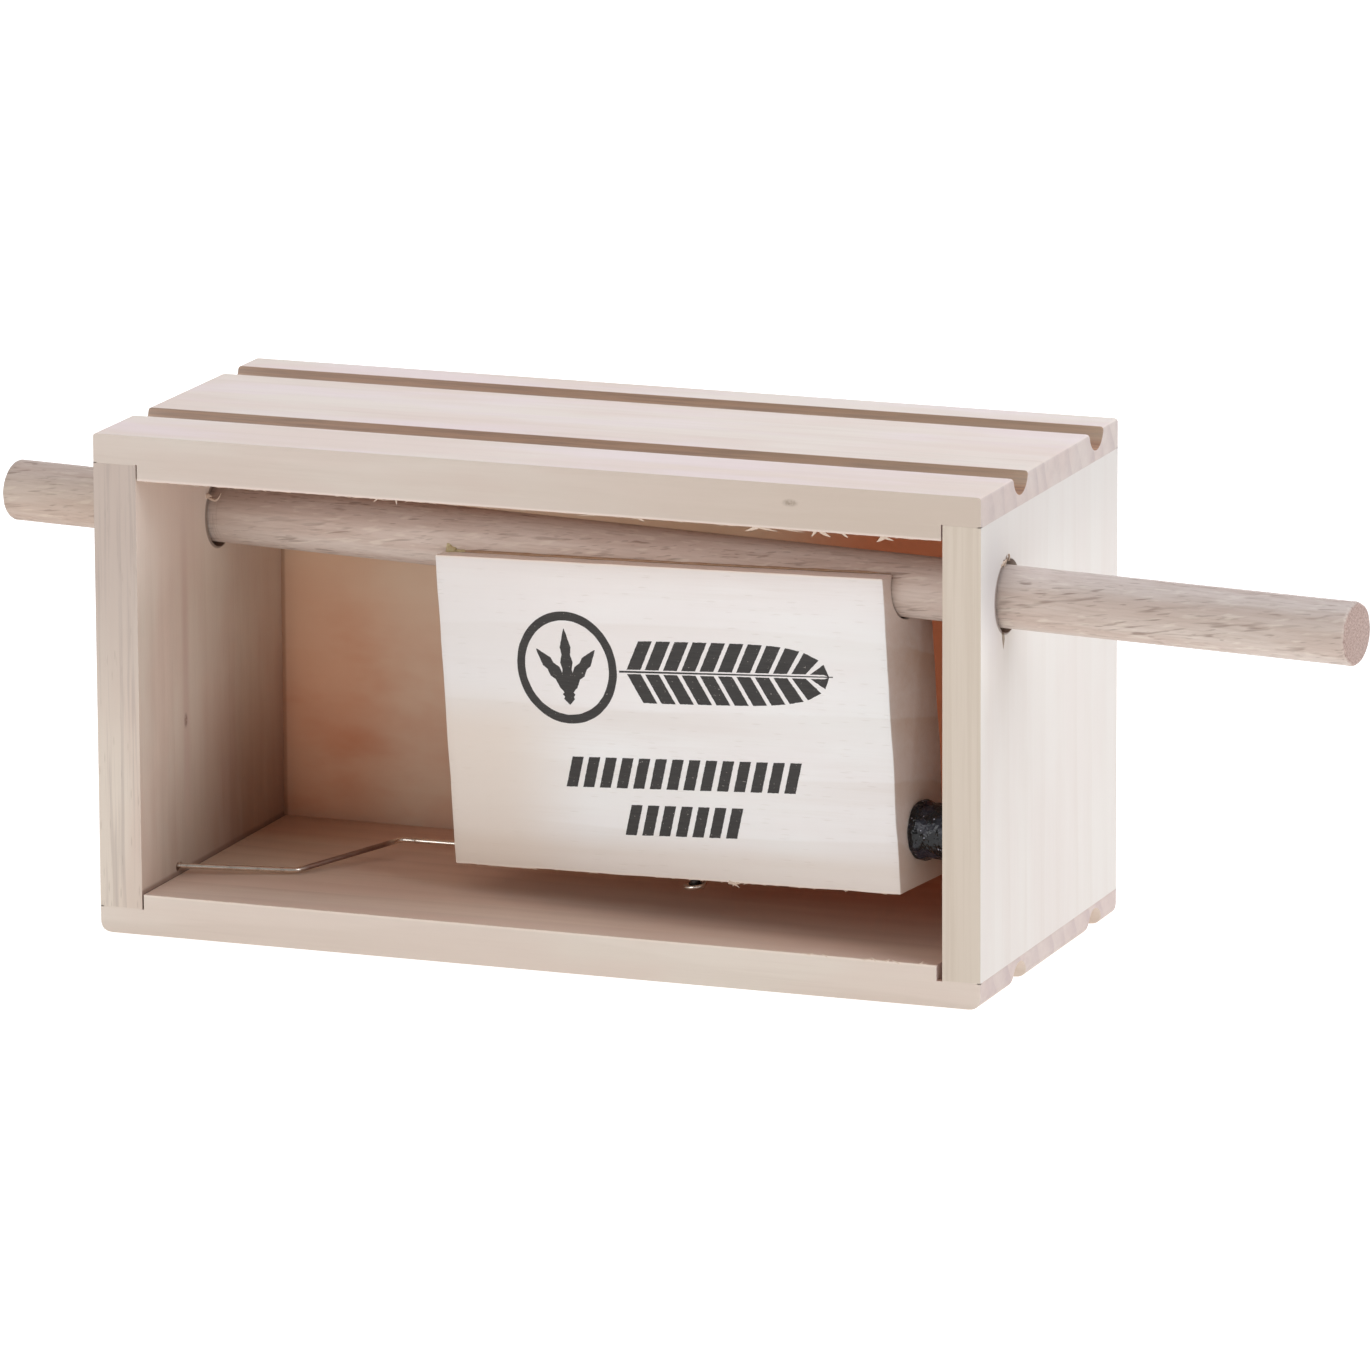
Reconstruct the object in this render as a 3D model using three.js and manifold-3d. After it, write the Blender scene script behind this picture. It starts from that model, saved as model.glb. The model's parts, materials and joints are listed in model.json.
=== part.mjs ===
// Push-rod box turkey call: an open-fronted wooden sound box with a thin tone board at the back.
// A dowel slides through both end walls and carries a hanging striker block.  The block's back
// rubs on the nose of a peg glued to the tone board, and a bent music-wire spring under the
// block returns the dowel until a rubber bumper meets the right wall.
//
// Millimetres, +Z up.  X runs along the box towards the push end of the dowel, Y runs from the
// open front to the back.  The origin is the centre of the underside.

import * as THREE from 'three';
import { mergeVertices } from 'three/addons/utils/BufferGeometryUtils.js';
import Module from 'manifold-3d';

// ---- Box ----
const BOX_LENGTH = 139.7;
const BOX_DEPTH = 61.4;
const BOX_HEIGHT = 76.2;
const TOP_THICKNESS = 6.8;
const BOTTOM_THICKNESS = 6.2;
const LEFT_THICKNESS = 6.8;
const RIGHT_THICKNESS = 5.9;
const TOP_LIP = 4.4; // plank left above the end rebates
const BOTTOM_LIP = 3.9; // plank left below the end rebates
const TOP_CORNER_RADIUS = 0.6;
const BOTTOM_CORNER_RADIUS = 1.9;
const SHOULDER_GAP = 0.25; // rebate wider than the wall it takes
const WIDE_SHOULDER_GAP = 0.9; // the bottom right rebate is cut too wide
const GLUE_LINE = 0.1;

// ---- Outer finger grooves along the planks ----
const GROOVE_CENTRES_Y = [-13.3, 20.8];
const GROOVE_RADIUS = 3.2;
const TOP_GROOVE_DEPTH = 2.9;
const BOTTOM_GROOVE_DEPTH = 3.3;

// ---- Tone board, held in slots, and the peg glued to it ----
const BOARD_FRONT_Y = 23.8;
const BOARD_THICKNESS = 1.8;
const SLOT_DEPTH = 1.2;
const PEG_X = 12;
const PEG_THICKNESS = 6.35;
const PEG_BOTTOM_Z = 21;
const PEG_TOP_Z = 43;

// ---- Push rod: it runs askew, from back left to front right ----
const ROD_RADIUS = 4.65;
const ROD_YAW = THREE.MathUtils.degToRad(-8.41);
const ROD_RISE = THREE.MathUtils.degToRad(0.3);
const ROD_CENTRE = new THREE.Vector3(0, -8.8, 58.95); // rod axis where it crosses X = 0
const ROD_LEFT_END = -100;
const ROD_RIGHT_END = 127;
const ROD_EDGE = 0.5; // eased edge at each end
const BORE_RADIUS = 5.4; // bored square to the walls, loose enough for the skewed rod

// ---- Striker block, hung from the rod by a cove cut along its top edge ----
const BLOCK_LENGTH = 76;
const BLOCK_THICKNESS = 14.5;
const BLOCK_HEIGHT = 47.3;
const BLOCK_ALONG_ROD = 16.15; // rod axis coordinate of the block's middle
const BLOCK_DROP = 22.93; // rod axis to block centre
const BLOCK_TILT = THREE.MathUtils.degToRad(-2.75); // right end glued on higher than the left
const BLOCK_SWING = THREE.MathUtils.degToRad(1.12); // foot leans back onto the peg
const COVE_CLEARANCE = 0.3;
const PEG_CLEARANCE = 0.2;

// ---- Bumper plugged into the block's right end ----
const BUMPER_HEIGHT = 8.1; // above the block's bottom edge
const BUMPER_RADIUS = 4.2;
const BUMPER_LENGTH = 7.3;
const BUMPER_EDGE = 0.9;
const COLLAR_RADIUS = 4.6;
const COLLAR_LENGTH = 1.3;
const STEM_RADIUS = 2.4;
const STEM_LENGTH = 9;
const STEM_CLEARANCE = 0.15;
const SEAT_GAP = 0.05;

// ---- Screw, washer and wire eye under the block ----
const SCREW_FORWARD = 1.6; // in front of the block's mid thickness
const SCREW_SHANK_RADIUS = 0.75;
const SCREW_THREAD_DEPTH = 9;
const SCREW_HEAD_RADIUS = 1.75;
const SCREW_HEAD_HEIGHT = 1.1;
const HEAD_UNDERSIDE = 2.6; // below the block
const WASHER_RADIUS = 1.75;
const WASHER_THICKNESS = 0.6;
const SCREW_CLEARANCE = 0.1;
const EYE_RADIUS = 1.3;
const EYE_TURNS = 1.5;
const EYE_PITCH = 0.72;
const EYE_FIRST_COIL = 1.05; // below the block

// ---- Music-wire spring, in box coordinates ----
const WIRE_RADIUS = 0.34;
const WIRE_BEND_RADIUS = 1.6;
const WIRE_HOLE_RADIUS = 0.5;
const WIRE_HOLE_DEPTH = 5;
const WIRE_TIP_INSET = 0.4; // wire stops short of the bottom of its hole
const WIRE_JOINT_GAP = 0.45; // each length of the spring stops this far from a pivot
const WALL_POINT = new THREE.Vector3(-BOX_LENGTH / 2 + LEFT_THICKNESS, -16.2, 7.45);
const FIRST_BEND = new THREE.Vector3(-46.2, -11.3, 6.85);
const SECOND_BEND = new THREE.Vector3(-36.1, 5.6, 8.6);
const THIRD_BEND = new THREE.Vector3(5.5, 3, 9.7);
const ELBOW_LENGTH = 3.2; // start of the tail that turns with the second bend
const STUB_LENGTH = 3.2; // end of the tail that stays with the third bend
const TAIL_GAP = 0.15; // half the gap between elbow and tail
const OPEN_PIVOT_GAP = 0.4; // half the gap where the tail meets the eye's stub

// ---- Facets ----
const ROD_SIDES = 48;
const BORE_SIDES = 48;
const GROOVE_SIDES = 40;
const CORNER_STEPS = 6;
const BEND_STEP = 0.45; // wire length to one ring of facets in a bend
const STRAIGHT_STEP = 8;
const SMALL_SIDES = 28;
const WIRE_SIDES = 5; // facets to half a turn of the wire
const WELD_DISTANCE = 1e-5;

const HALF_LENGTH = BOX_LENGTH / 2;
const HALF_DEPTH = BOX_DEPTH / 2;
const CAVITY_LEFT = -HALF_LENGTH + LEFT_THICKNESS;
const CAVITY_RIGHT = HALF_LENGTH - RIGHT_THICKNESS;
const CAVITY_TOP = BOX_HEIGHT - TOP_THICKNESS;
const SLOT_FRONT_Y = BOARD_FRONT_Y - GLUE_LINE;
const SLOT_BACK_Y = BOARD_FRONT_Y + BOARD_THICKNESS + GLUE_LINE;
const OVERCUT = 2; // cutters run past the faces they open

const wasm = await Module();
wasm.setup();

function paleWood(colour, roughness = 0.78) {
  return new THREE.MeshStandardMaterial({ color: colour, roughness, metalness: 0 });
}

const plankWood = paleWood(0xe4d8cc);
const wallWood = paleWood(0xe6ddd3);
const blockWood = paleWood(0xeae2da);
const boardWood = paleWood(0xd9a98c, 0.7);
const pegWood = paleWood(0xc9ab8c);
const beechDowel = paleWood(0xb9a596, 0.68);
const blackRubber = new THREE.MeshStandardMaterial({ color: 0x17171b, roughness: 0.28, metalness: 0 });
const blackSteel = new THREE.MeshStandardMaterial({ color: 0x2b2927, roughness: 0.4, metalness: 0.9 });
const musicWire = new THREE.MeshStandardMaterial({ color: 0x9b938a, roughness: 0.32, metalness: 1 });

// ---- Solid helpers ----

function toSolid(geometry) {
  const bare = geometry.clone();
  bare.deleteAttribute('normal');
  bare.deleteAttribute('uv');
  const merged = mergeVertices(bare, WELD_DISTANCE);
  return new wasm.Manifold(
    new wasm.Mesh({
      numProp: 3,
      vertProperties: new Float32Array(merged.attributes.position.array),
      triVerts: new Uint32Array(merged.index.array),
    }),
  );
}

function toGeometry(solid) {
  const mesh = solid.getMesh();
  const geometry = new THREE.BufferGeometry();
  geometry.setAttribute('position', new THREE.BufferAttribute(mesh.vertProperties, 3));
  geometry.setIndex(new THREE.BufferAttribute(mesh.triVerts, 1));
  geometry.computeVertexNormals();
  return geometry;
}

function carve(geometry, cutters) {
  let solid = toSolid(geometry);
  for (const cutter of cutters) {
    solid = solid.subtract(toSolid(cutter));
  }
  return toGeometry(solid);
}

// A box given by any two opposite corners.
function boxBetween(one, other) {
  const size = one.map((value, axis) => Math.abs(other[axis] - value));
  const middle = one.map((value, axis) => (other[axis] + value) / 2);
  return new THREE.BoxGeometry(...size).translate(...middle);
}

// A solid of revolution about X; profile points are [x, radius] from axis to axis.
function turnedAlongX(profile, sides) {
  const points = profile.map(([x, radius]) => new THREE.Vector2(radius, x));
  const geometry = new THREE.LatheGeometry(points, sides);
  geometry.rotateZ(-Math.PI / 2);
  return geometry;
}

// A solid of revolution about Z; profile points are [z, radius] from axis to axis.
function turnedAlongZ(profile, sides) {
  const geometry = new THREE.LatheGeometry(
    profile.map(([z, radius]) => new THREE.Vector2(radius, z)),
    sides,
  );
  geometry.rotateX(Math.PI / 2);
  return geometry;
}

function cylinderAlongX(radius, fromX, toX, sides) {
  const geometry = new THREE.CylinderGeometry(radius, radius, toX - fromX, sides);
  geometry.rotateZ(-Math.PI / 2);
  geometry.translate((fromX + toX) / 2, 0, 0);
  return geometry;
}

// A shape drawn in X and Z, swept along Y from front to back.
function sweptAlongY(shape, frontY, backY) {
  const geometry = new THREE.ExtrudeGeometry(shape, {
    depth: backY - frontY,
    bevelEnabled: false,
    curveSegments: CORNER_STEPS,
  });
  geometry.rotateX(Math.PI / 2);
  geometry.translate(0, backY, 0);
  return geometry;
}

// ---- Wire helpers ----

// A path of straight lengths joined by rounded bends.
function bentPath(points, bendRadius) {
  const path = new THREE.CurvePath();
  let start = points[0];
  for (let i = 1; i < points.length - 1; i += 1) {
    const bend = points[i];
    const before = start.clone().sub(bend).setLength(bendRadius).add(bend);
    const after = points[i + 1].clone().sub(bend).setLength(bendRadius).add(bend);
    path.add(new THREE.LineCurve3(start, before));
    path.add(new THREE.QuadraticBezierCurve3(before, bend, after));
    start = after;
  }
  path.add(new THREE.LineCurve3(start, points[points.length - 1]));
  return path;
}

function wireAlong(path, stepLength) {
  const section = new THREE.Shape();
  section.absarc(0, 0, WIRE_RADIUS, 0, 2 * Math.PI, false);
  return new THREE.ExtrudeGeometry(section, {
    steps: Math.max(1, Math.round(path.getLength() / stepLength)),
    curveSegments: WIRE_SIDES,
    extrudePath: path,
    bevelEnabled: false,
  });
}

// The point a given length along the line from one point towards another.
function along(from, to, length) {
  return to.clone().sub(from).setLength(length).add(from);
}

// A helix about Z with its free end first, then a tail that leaves it on a tangent.
class EyeCurve extends THREE.Curve {
  constructor(tailEnds) {
    super();
    const target = tailEnds[0];
    const reach = Math.hypot(target.x, target.y);
    this.lastAngle = Math.atan2(target.y, target.x) - Math.acos(EYE_RADIUS / reach);
    this.tail = bentPath([this.coilPoint(1), ...tailEnds], WIRE_BEND_RADIUS);
    this.coilLength = 2 * Math.PI * EYE_RADIUS * EYE_TURNS;
    this.totalLength = this.coilLength + this.tail.getLength();
  }

  coilPoint(t) {
    const turnsLeft = EYE_TURNS * (1 - t);
    const angle = this.lastAngle - 2 * Math.PI * turnsLeft;
    return new THREE.Vector3(
      EYE_RADIUS * Math.cos(angle),
      EYE_RADIUS * Math.sin(angle),
      -EYE_FIRST_COIL - EYE_PITCH * turnsLeft,
    );
  }

  getPoint(t) {
    const travelled = t * this.totalLength;
    if (travelled <= this.coilLength) {
      return this.coilPoint(travelled / this.coilLength);
    }
    return this.tail.getPoint((travelled - this.coilLength) / (this.totalLength - this.coilLength));
  }
}

// ---- Placement of the moving assembly ----

const carriage = new THREE.Group();
carriage.position.copy(ROD_CENTRE);
carriage.rotation.set(0, -ROD_RISE, ROD_YAW, 'ZYX');

const striker = new THREE.Group();
striker.position.set(BLOCK_ALONG_ROD, 0, 0);
striker.rotation.set(BLOCK_SWING, BLOCK_TILT, 0, 'XYZ');
carriage.add(striker);
carriage.updateMatrixWorld(true);

// The height and depth of the rod's axis where it crosses a plane of constant X.
function rodAt(x) {
  const direction = new THREE.Vector3(1, 0, 0).transformDirection(carriage.matrixWorld);
  return ROD_CENTRE.clone().addScaledVector(direction, (x - ROD_CENTRE.x) / direction.x);
}

// ---- Box parts ----

const plankShoulders = {
  top: { left: SHOULDER_GAP, right: SHOULDER_GAP },
  bottom: { left: SHOULDER_GAP, right: WIDE_SHOULDER_GAP },
};

// A plank seen from the front, drawn with its outer face at z = 0 and its inner face at z = up,
// rebated at both ends down to the lip and rounded at its two outer corners.
function plankShape(thickness, lip, shoulders, radius, up) {
  const leftShoulder = CAVITY_LEFT + shoulders.left;
  const rightShoulder = CAVITY_RIGHT - shoulders.right;
  const shape = new THREE.Shape();
  shape.moveTo(-HALF_LENGTH + radius, 0);
  shape.lineTo(HALF_LENGTH - radius, 0);
  shape.quadraticCurveTo(HALF_LENGTH, 0, HALF_LENGTH, up * radius);
  shape.lineTo(HALF_LENGTH, up * lip);
  shape.lineTo(rightShoulder, up * lip);
  shape.lineTo(rightShoulder, up * thickness);
  shape.lineTo(leftShoulder, up * thickness);
  shape.lineTo(leftShoulder, up * lip);
  shape.lineTo(-HALF_LENGTH, up * lip);
  shape.lineTo(-HALF_LENGTH, up * radius);
  shape.quadraticCurveTo(-HALF_LENGTH, 0, -HALF_LENGTH + radius, 0);
  return shape;
}

// Round-bottomed finger grooves, cut along the whole plank from its outer face.
function fingerGrooves(depth, up) {
  return GROOVE_CENTRES_Y.map((y) => {
    const cutter = cylinderAlongX(
      GROOVE_RADIUS,
      -HALF_LENGTH - OVERCUT,
      HALF_LENGTH + OVERCUT,
      GROOVE_SIDES,
    );
    return cutter.translate(0, y, up * (depth - GROOVE_RADIUS));
  });
}

function plank(thickness, lip, shoulders, radius, grooveDepth, up) {
  const blank = sweptAlongY(plankShape(thickness, lip, shoulders, radius, up), -HALF_DEPTH, HALF_DEPTH);
  const slot = boxBetween(
    [CAVITY_LEFT - SLOT_DEPTH, SLOT_FRONT_Y, up * (thickness - SLOT_DEPTH)],
    [CAVITY_RIGHT + SLOT_DEPTH, SLOT_BACK_Y, up * (thickness + OVERCUT)],
  );
  return carve(blank, [slot, ...fingerGrooves(grooveDepth, up)]);
}

function topPlank() {
  const geometry = plank(TOP_THICKNESS, TOP_LIP, plankShoulders.top, TOP_CORNER_RADIUS, TOP_GROOVE_DEPTH, -1);
  const mesh = new THREE.Mesh(geometry, plankWood);
  mesh.position.z = BOX_HEIGHT;
  return mesh;
}

function bottomPlank() {
  return new THREE.Mesh(
    plank(BOTTOM_THICKNESS, BOTTOM_LIP, plankShoulders.bottom, BOTTOM_CORNER_RADIUS, BOTTOM_GROOVE_DEPTH, 1),
    plankWood,
  );
}

// An end wall between two X planes, slotted for the tone board and bored for the rod.
function endWall(fromX, toX, slotX) {
  const blank = boxBetween(
    [fromX, -HALF_DEPTH, BOTTOM_LIP + GLUE_LINE],
    [toX, HALF_DEPTH, BOX_HEIGHT - TOP_LIP - GLUE_LINE],
  );
  const slot = boxBetween([slotX, SLOT_FRONT_Y, 0], [0, SLOT_BACK_Y, BOX_HEIGHT]);
  const axis = rodAt((fromX + toX) / 2);
  const bore = cylinderAlongX(BORE_RADIUS, fromX - OVERCUT, toX + OVERCUT, BORE_SIDES);
  bore.translate(0, axis.y, axis.z);
  return { blank, cutters: [slot, bore] };
}

function leftEndPanel() {
  const { blank, cutters } = endWall(-HALF_LENGTH, CAVITY_LEFT, CAVITY_LEFT - SLOT_DEPTH);
  const wireHole = cylinderAlongX(
    WIRE_HOLE_RADIUS,
    CAVITY_LEFT - WIRE_HOLE_DEPTH,
    CAVITY_LEFT + OVERCUT,
    SMALL_SIDES,
  );
  wireHole.translate(0, WALL_POINT.y, WALL_POINT.z);
  return new THREE.Mesh(carve(blank, [...cutters, wireHole]), wallWood);
}

function rightEndPanel() {
  const { blank, cutters } = endWall(CAVITY_RIGHT, HALF_LENGTH, CAVITY_RIGHT + SLOT_DEPTH);
  return new THREE.Mesh(carve(blank, cutters), wallWood);
}

function soundBoard() {
  const inset = SLOT_DEPTH - GLUE_LINE;
  return new THREE.Mesh(
    boxBetween(
      [CAVITY_LEFT - inset, BOARD_FRONT_Y, BOTTOM_THICKNESS - inset],
      [CAVITY_RIGHT + inset, BOARD_FRONT_Y + BOARD_THICKNESS, CAVITY_TOP + inset],
    ),
    boardWood,
  );
}

// The peg's nose is a half round whose centre stands off from the block's back plane by the nose
// radius plus a running clearance, measured at the peg's foot, where the leaning block is nearest.
function soundingPeg() {
  const radius = PEG_THICKNESS / 2;
  const back = new THREE.Vector3(0, BLOCK_THICKNESS / 2, 0).applyMatrix4(striker.matrixWorld);
  const outward = new THREE.Vector3(0, 1, 0).transformDirection(striker.matrixWorld);
  const fromPlane = (radius + PEG_CLEARANCE) / Math.hypot(outward.x, outward.y);
  const planeX = outward.x * (PEG_X - back.x) + outward.z * (PEG_BOTTOM_Z - back.z);
  const noseY = back.y - planeX / outward.y + fromPlane * (Math.hypot(outward.x, outward.y) / outward.y);
  const shape = new THREE.Shape();
  shape.moveTo(PEG_X - radius, BOARD_FRONT_Y - SEAT_GAP);
  shape.lineTo(PEG_X - radius, noseY);
  shape.absarc(PEG_X, noseY, radius, Math.PI, 2 * Math.PI, false);
  shape.lineTo(PEG_X + radius, BOARD_FRONT_Y - SEAT_GAP);
  shape.closePath();
  const geometry = new THREE.ExtrudeGeometry(shape, {
    depth: PEG_TOP_Z - PEG_BOTTOM_Z,
    bevelEnabled: false,
    curveSegments: SMALL_SIDES / 2,
  });
  geometry.translate(0, 0, PEG_BOTTOM_Z);
  return new THREE.Mesh(geometry, pegWood);
}

// ---- Rod and striker parts ----

function pushRod() {
  const geometry = turnedAlongX(
    [
      [ROD_LEFT_END, 0],
      [ROD_LEFT_END, ROD_RADIUS - ROD_EDGE],
      [ROD_LEFT_END + ROD_EDGE, ROD_RADIUS],
      [ROD_RIGHT_END - ROD_EDGE, ROD_RADIUS],
      [ROD_RIGHT_END, ROD_RADIUS - ROD_EDGE],
      [ROD_RIGHT_END, 0],
    ],
    ROD_SIDES,
  );
  return new THREE.Mesh(geometry, beechDowel);
}

const BLOCK_BOTTOM = -BLOCK_DROP - BLOCK_HEIGHT / 2;

function strikerBlock() {
  const blank = new THREE.BoxGeometry(BLOCK_LENGTH, BLOCK_THICKNESS, BLOCK_HEIGHT);
  blank.translate(0, 0, -BLOCK_DROP);
  const cove = cylinderAlongX(ROD_RADIUS + COVE_CLEARANCE, -BLOCK_LENGTH, BLOCK_LENGTH, ROD_SIDES);
  cove.rotateY(-BLOCK_TILT);
  const stemHole = cylinderAlongX(
    STEM_RADIUS + STEM_CLEARANCE,
    BLOCK_LENGTH / 2 - STEM_LENGTH - STEM_CLEARANCE,
    BLOCK_LENGTH / 2 + OVERCUT,
    SMALL_SIDES,
  );
  stemHole.translate(0, 0, BLOCK_BOTTOM + BUMPER_HEIGHT);
  const screwHole = turnedAlongZ(
    [
      [BLOCK_BOTTOM - OVERCUT, 0],
      [BLOCK_BOTTOM - OVERCUT, SCREW_SHANK_RADIUS + SCREW_CLEARANCE],
      [BLOCK_BOTTOM + SCREW_THREAD_DEPTH + SCREW_CLEARANCE, SCREW_SHANK_RADIUS + SCREW_CLEARANCE],
      [BLOCK_BOTTOM + SCREW_THREAD_DEPTH + SCREW_CLEARANCE, 0],
    ],
    SMALL_SIDES,
  );
  screwHole.translate(0, -SCREW_FORWARD, 0);
  return new THREE.Mesh(carve(blank, [cove, stemHole, screwHole]), blockWood);
}

function bumper() {
  const face = BLOCK_LENGTH / 2 + SEAT_GAP;
  const tip = face + BUMPER_LENGTH;
  const geometry = turnedAlongX(
    [
      [face - STEM_LENGTH, 0],
      [face - STEM_LENGTH, STEM_RADIUS],
      [face, STEM_RADIUS],
      [face, COLLAR_RADIUS],
      [face + COLLAR_LENGTH, COLLAR_RADIUS],
      [face + COLLAR_LENGTH + COLLAR_RADIUS - BUMPER_RADIUS, BUMPER_RADIUS],
      [tip - BUMPER_EDGE, BUMPER_RADIUS],
      [tip - BUMPER_EDGE / 4, BUMPER_RADIUS - BUMPER_EDGE / 4],
      [tip, BUMPER_RADIUS - BUMPER_EDGE],
      [tip, 0],
    ],
    SMALL_SIDES,
  );
  const mesh = new THREE.Mesh(geometry, blackRubber);
  mesh.position.z = BLOCK_BOTTOM + BUMPER_HEIGHT;
  return mesh;
}

// A round-head screw driven up into the block; z = 0 is the block's bottom face.
function springScrew() {
  const dome = [];
  for (let i = 0; i <= CORNER_STEPS; i += 1) {
    const angle = (i / CORNER_STEPS) * (Math.PI / 2);
    dome.push([
      -HEAD_UNDERSIDE - SCREW_HEAD_HEIGHT * Math.cos(angle),
      SCREW_HEAD_RADIUS * Math.sin(angle),
    ]);
  }
  const geometry = turnedAlongZ(
    [
      ...dome,
      [-HEAD_UNDERSIDE, SCREW_SHANK_RADIUS],
      [SCREW_THREAD_DEPTH - SCREW_SHANK_RADIUS * 2, SCREW_SHANK_RADIUS],
      [SCREW_THREAD_DEPTH, 0],
    ],
    SMALL_SIDES,
  );
  const mesh = new THREE.Mesh(geometry, blackSteel);
  mesh.position.set(0, -SCREW_FORWARD, BLOCK_BOTTOM);
  return mesh;
}

function screwWasher() {
  const inner = SCREW_SHANK_RADIUS + SCREW_CLEARANCE;
  const upper = -SEAT_GAP;
  const lower = -SEAT_GAP - WASHER_THICKNESS;
  const geometry = turnedAlongZ(
    [
      [lower, inner],
      [lower, WASHER_RADIUS],
      [upper, WASHER_RADIUS],
      [upper, inner],
      [lower, inner],
    ],
    SMALL_SIDES,
  );
  const mesh = new THREE.Mesh(geometry, blackSteel);
  mesh.position.set(0, -SCREW_FORWARD, BLOCK_BOTTOM);
  return mesh;
}

// ---- Spring lengths ----

// Fixed in the left wall; it holds the first bend's near side.
function springLeg() {
  const tip = new THREE.Vector3(CAVITY_LEFT - WIRE_HOLE_DEPTH + WIRE_TIP_INSET, WALL_POINT.y, WALL_POINT.z);
  const mouth = WALL_POINT.clone();
  const end = along(FIRST_BEND, WALL_POINT, WIRE_JOINT_GAP);
  return new THREE.Mesh(wireAlong(bentPath([tip, mouth, end], WIRE_HOLE_RADIUS), BEND_STEP), musicWire);
}

// A straight length between two points of the spring, stopping short of each by its own gap.
function straightWire(from, to, fromGap, toGap) {
  const path = bentPath([along(from, to, fromGap), along(to, from, toGap)], WIRE_BEND_RADIUS);
  return new THREE.Mesh(wireAlong(path, STRAIGHT_STEP), musicWire);
}

// The short arm swings about the first bend.
function springArm() {
  return straightWire(FIRST_BEND, SECOND_BEND, WIRE_JOINT_GAP, WIRE_JOINT_GAP);
}

// The start of the tail turns about the second bend.
function springElbow() {
  const end = along(SECOND_BEND, THIRD_BEND, ELBOW_LENGTH);
  return straightWire(SECOND_BEND, end, WIRE_JOINT_GAP, TAIL_GAP);
}

// The long tail reaches behind the block and lifts where it leaves the elbow.
function springTail() {
  const start = along(SECOND_BEND, THIRD_BEND, ELBOW_LENGTH);
  const end = along(THIRD_BEND, SECOND_BEND, STUB_LENGTH);
  return straightWire(start, end, TAIL_GAP, OPEN_PIVOT_GAP);
}

// The eye coiled round the screw, and the third bend that leads to it.
function springEye() {
  const toStriker = striker.matrixWorld.clone().invert();
  const bend = THIRD_BEND.clone().applyMatrix4(toStriker);
  const end = along(THIRD_BEND, SECOND_BEND, STUB_LENGTH - OPEN_PIVOT_GAP).applyMatrix4(toStriker);
  const shift = new THREE.Vector3(0, SCREW_FORWARD, -BLOCK_BOTTOM);
  const curve = new EyeCurve([bend.add(shift), end.add(shift)]);
  const mesh = new THREE.Mesh(wireAlong(curve, BEND_STEP), musicWire);
  mesh.position.set(0, -SCREW_FORWARD, BLOCK_BOTTOM);
  return mesh;
}

// ---- Assembly ----

function addNamed(group, parts) {
  for (const [name, mesh] of Object.entries(parts)) {
    mesh.name = name;
    group.add(mesh);
  }
}

const turkeyCall = new THREE.Group();

addNamed(turkeyCall, {
  top_plank: topPlank(),
  bottom_plank: bottomPlank(),
  left_end_panel: leftEndPanel(),
  right_end_panel: rightEndPanel(),
  sound_board: soundBoard(),
  sounding_peg: soundingPeg(),
  spring_leg: springLeg(),
  spring_arm: springArm(),
  spring_elbow: springElbow(),
  spring_tail: springTail(),
});

addNamed(carriage, { push_rod: pushRod() });

addNamed(striker, {
  striker_block: strikerBlock(),
  bumper: bumper(),
  screw_washer: screwWasher(),
  spring_screw: springScrew(),
  spring_eye: springEye(),
});

turkeyCall.add(carriage);

export default turkeyCall;
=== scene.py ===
"""Looks for the push-rod box turkey call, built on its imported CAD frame.

Metres, +Z up, X towards the push end of the rod, Y from the open front to the back.
Lengths inside the helpers are in millimetres and are turned into metres when a mesh is made.
"""

import json
import math
import random
from functools import partialmethod

import bmesh
import bpy
from mathutils import Matrix, Vector, noise

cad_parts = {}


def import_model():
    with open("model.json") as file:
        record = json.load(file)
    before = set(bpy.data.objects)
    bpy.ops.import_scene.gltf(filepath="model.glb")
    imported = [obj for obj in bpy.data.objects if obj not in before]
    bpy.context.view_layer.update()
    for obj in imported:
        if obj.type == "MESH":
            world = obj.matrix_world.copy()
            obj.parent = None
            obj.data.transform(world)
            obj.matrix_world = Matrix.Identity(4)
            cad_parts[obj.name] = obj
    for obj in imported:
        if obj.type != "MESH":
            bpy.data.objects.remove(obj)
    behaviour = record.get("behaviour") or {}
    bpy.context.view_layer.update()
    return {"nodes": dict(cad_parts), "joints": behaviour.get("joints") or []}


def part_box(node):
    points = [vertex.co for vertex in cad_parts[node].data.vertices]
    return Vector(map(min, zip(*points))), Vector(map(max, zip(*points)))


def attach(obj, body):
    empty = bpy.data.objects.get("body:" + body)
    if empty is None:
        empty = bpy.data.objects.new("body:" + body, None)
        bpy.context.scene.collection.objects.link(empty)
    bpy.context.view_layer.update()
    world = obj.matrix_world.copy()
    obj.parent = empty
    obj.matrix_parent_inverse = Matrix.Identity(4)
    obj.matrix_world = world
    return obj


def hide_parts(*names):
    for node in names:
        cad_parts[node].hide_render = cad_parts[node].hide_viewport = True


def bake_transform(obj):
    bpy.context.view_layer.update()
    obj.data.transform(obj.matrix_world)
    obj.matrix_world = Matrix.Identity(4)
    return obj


MM = 0.001

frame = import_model()
joints = {joint["name"]: joint for joint in frame["joints"]}

# ---- Frames of the moving parts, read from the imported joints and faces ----


def turn_to(*axes):
    """A rotation that takes X, Y and Z to these three axes."""
    return Matrix(axes).transposed().to_4x4()


def axes_frame(origin, x_axis, y_axis):
    """A 4x4 placement from an origin and two perpendicular axes."""
    return Matrix.Translation(origin) @ turn_to(x_axis, y_axis, x_axis.cross(y_axis).normalized())


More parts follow.
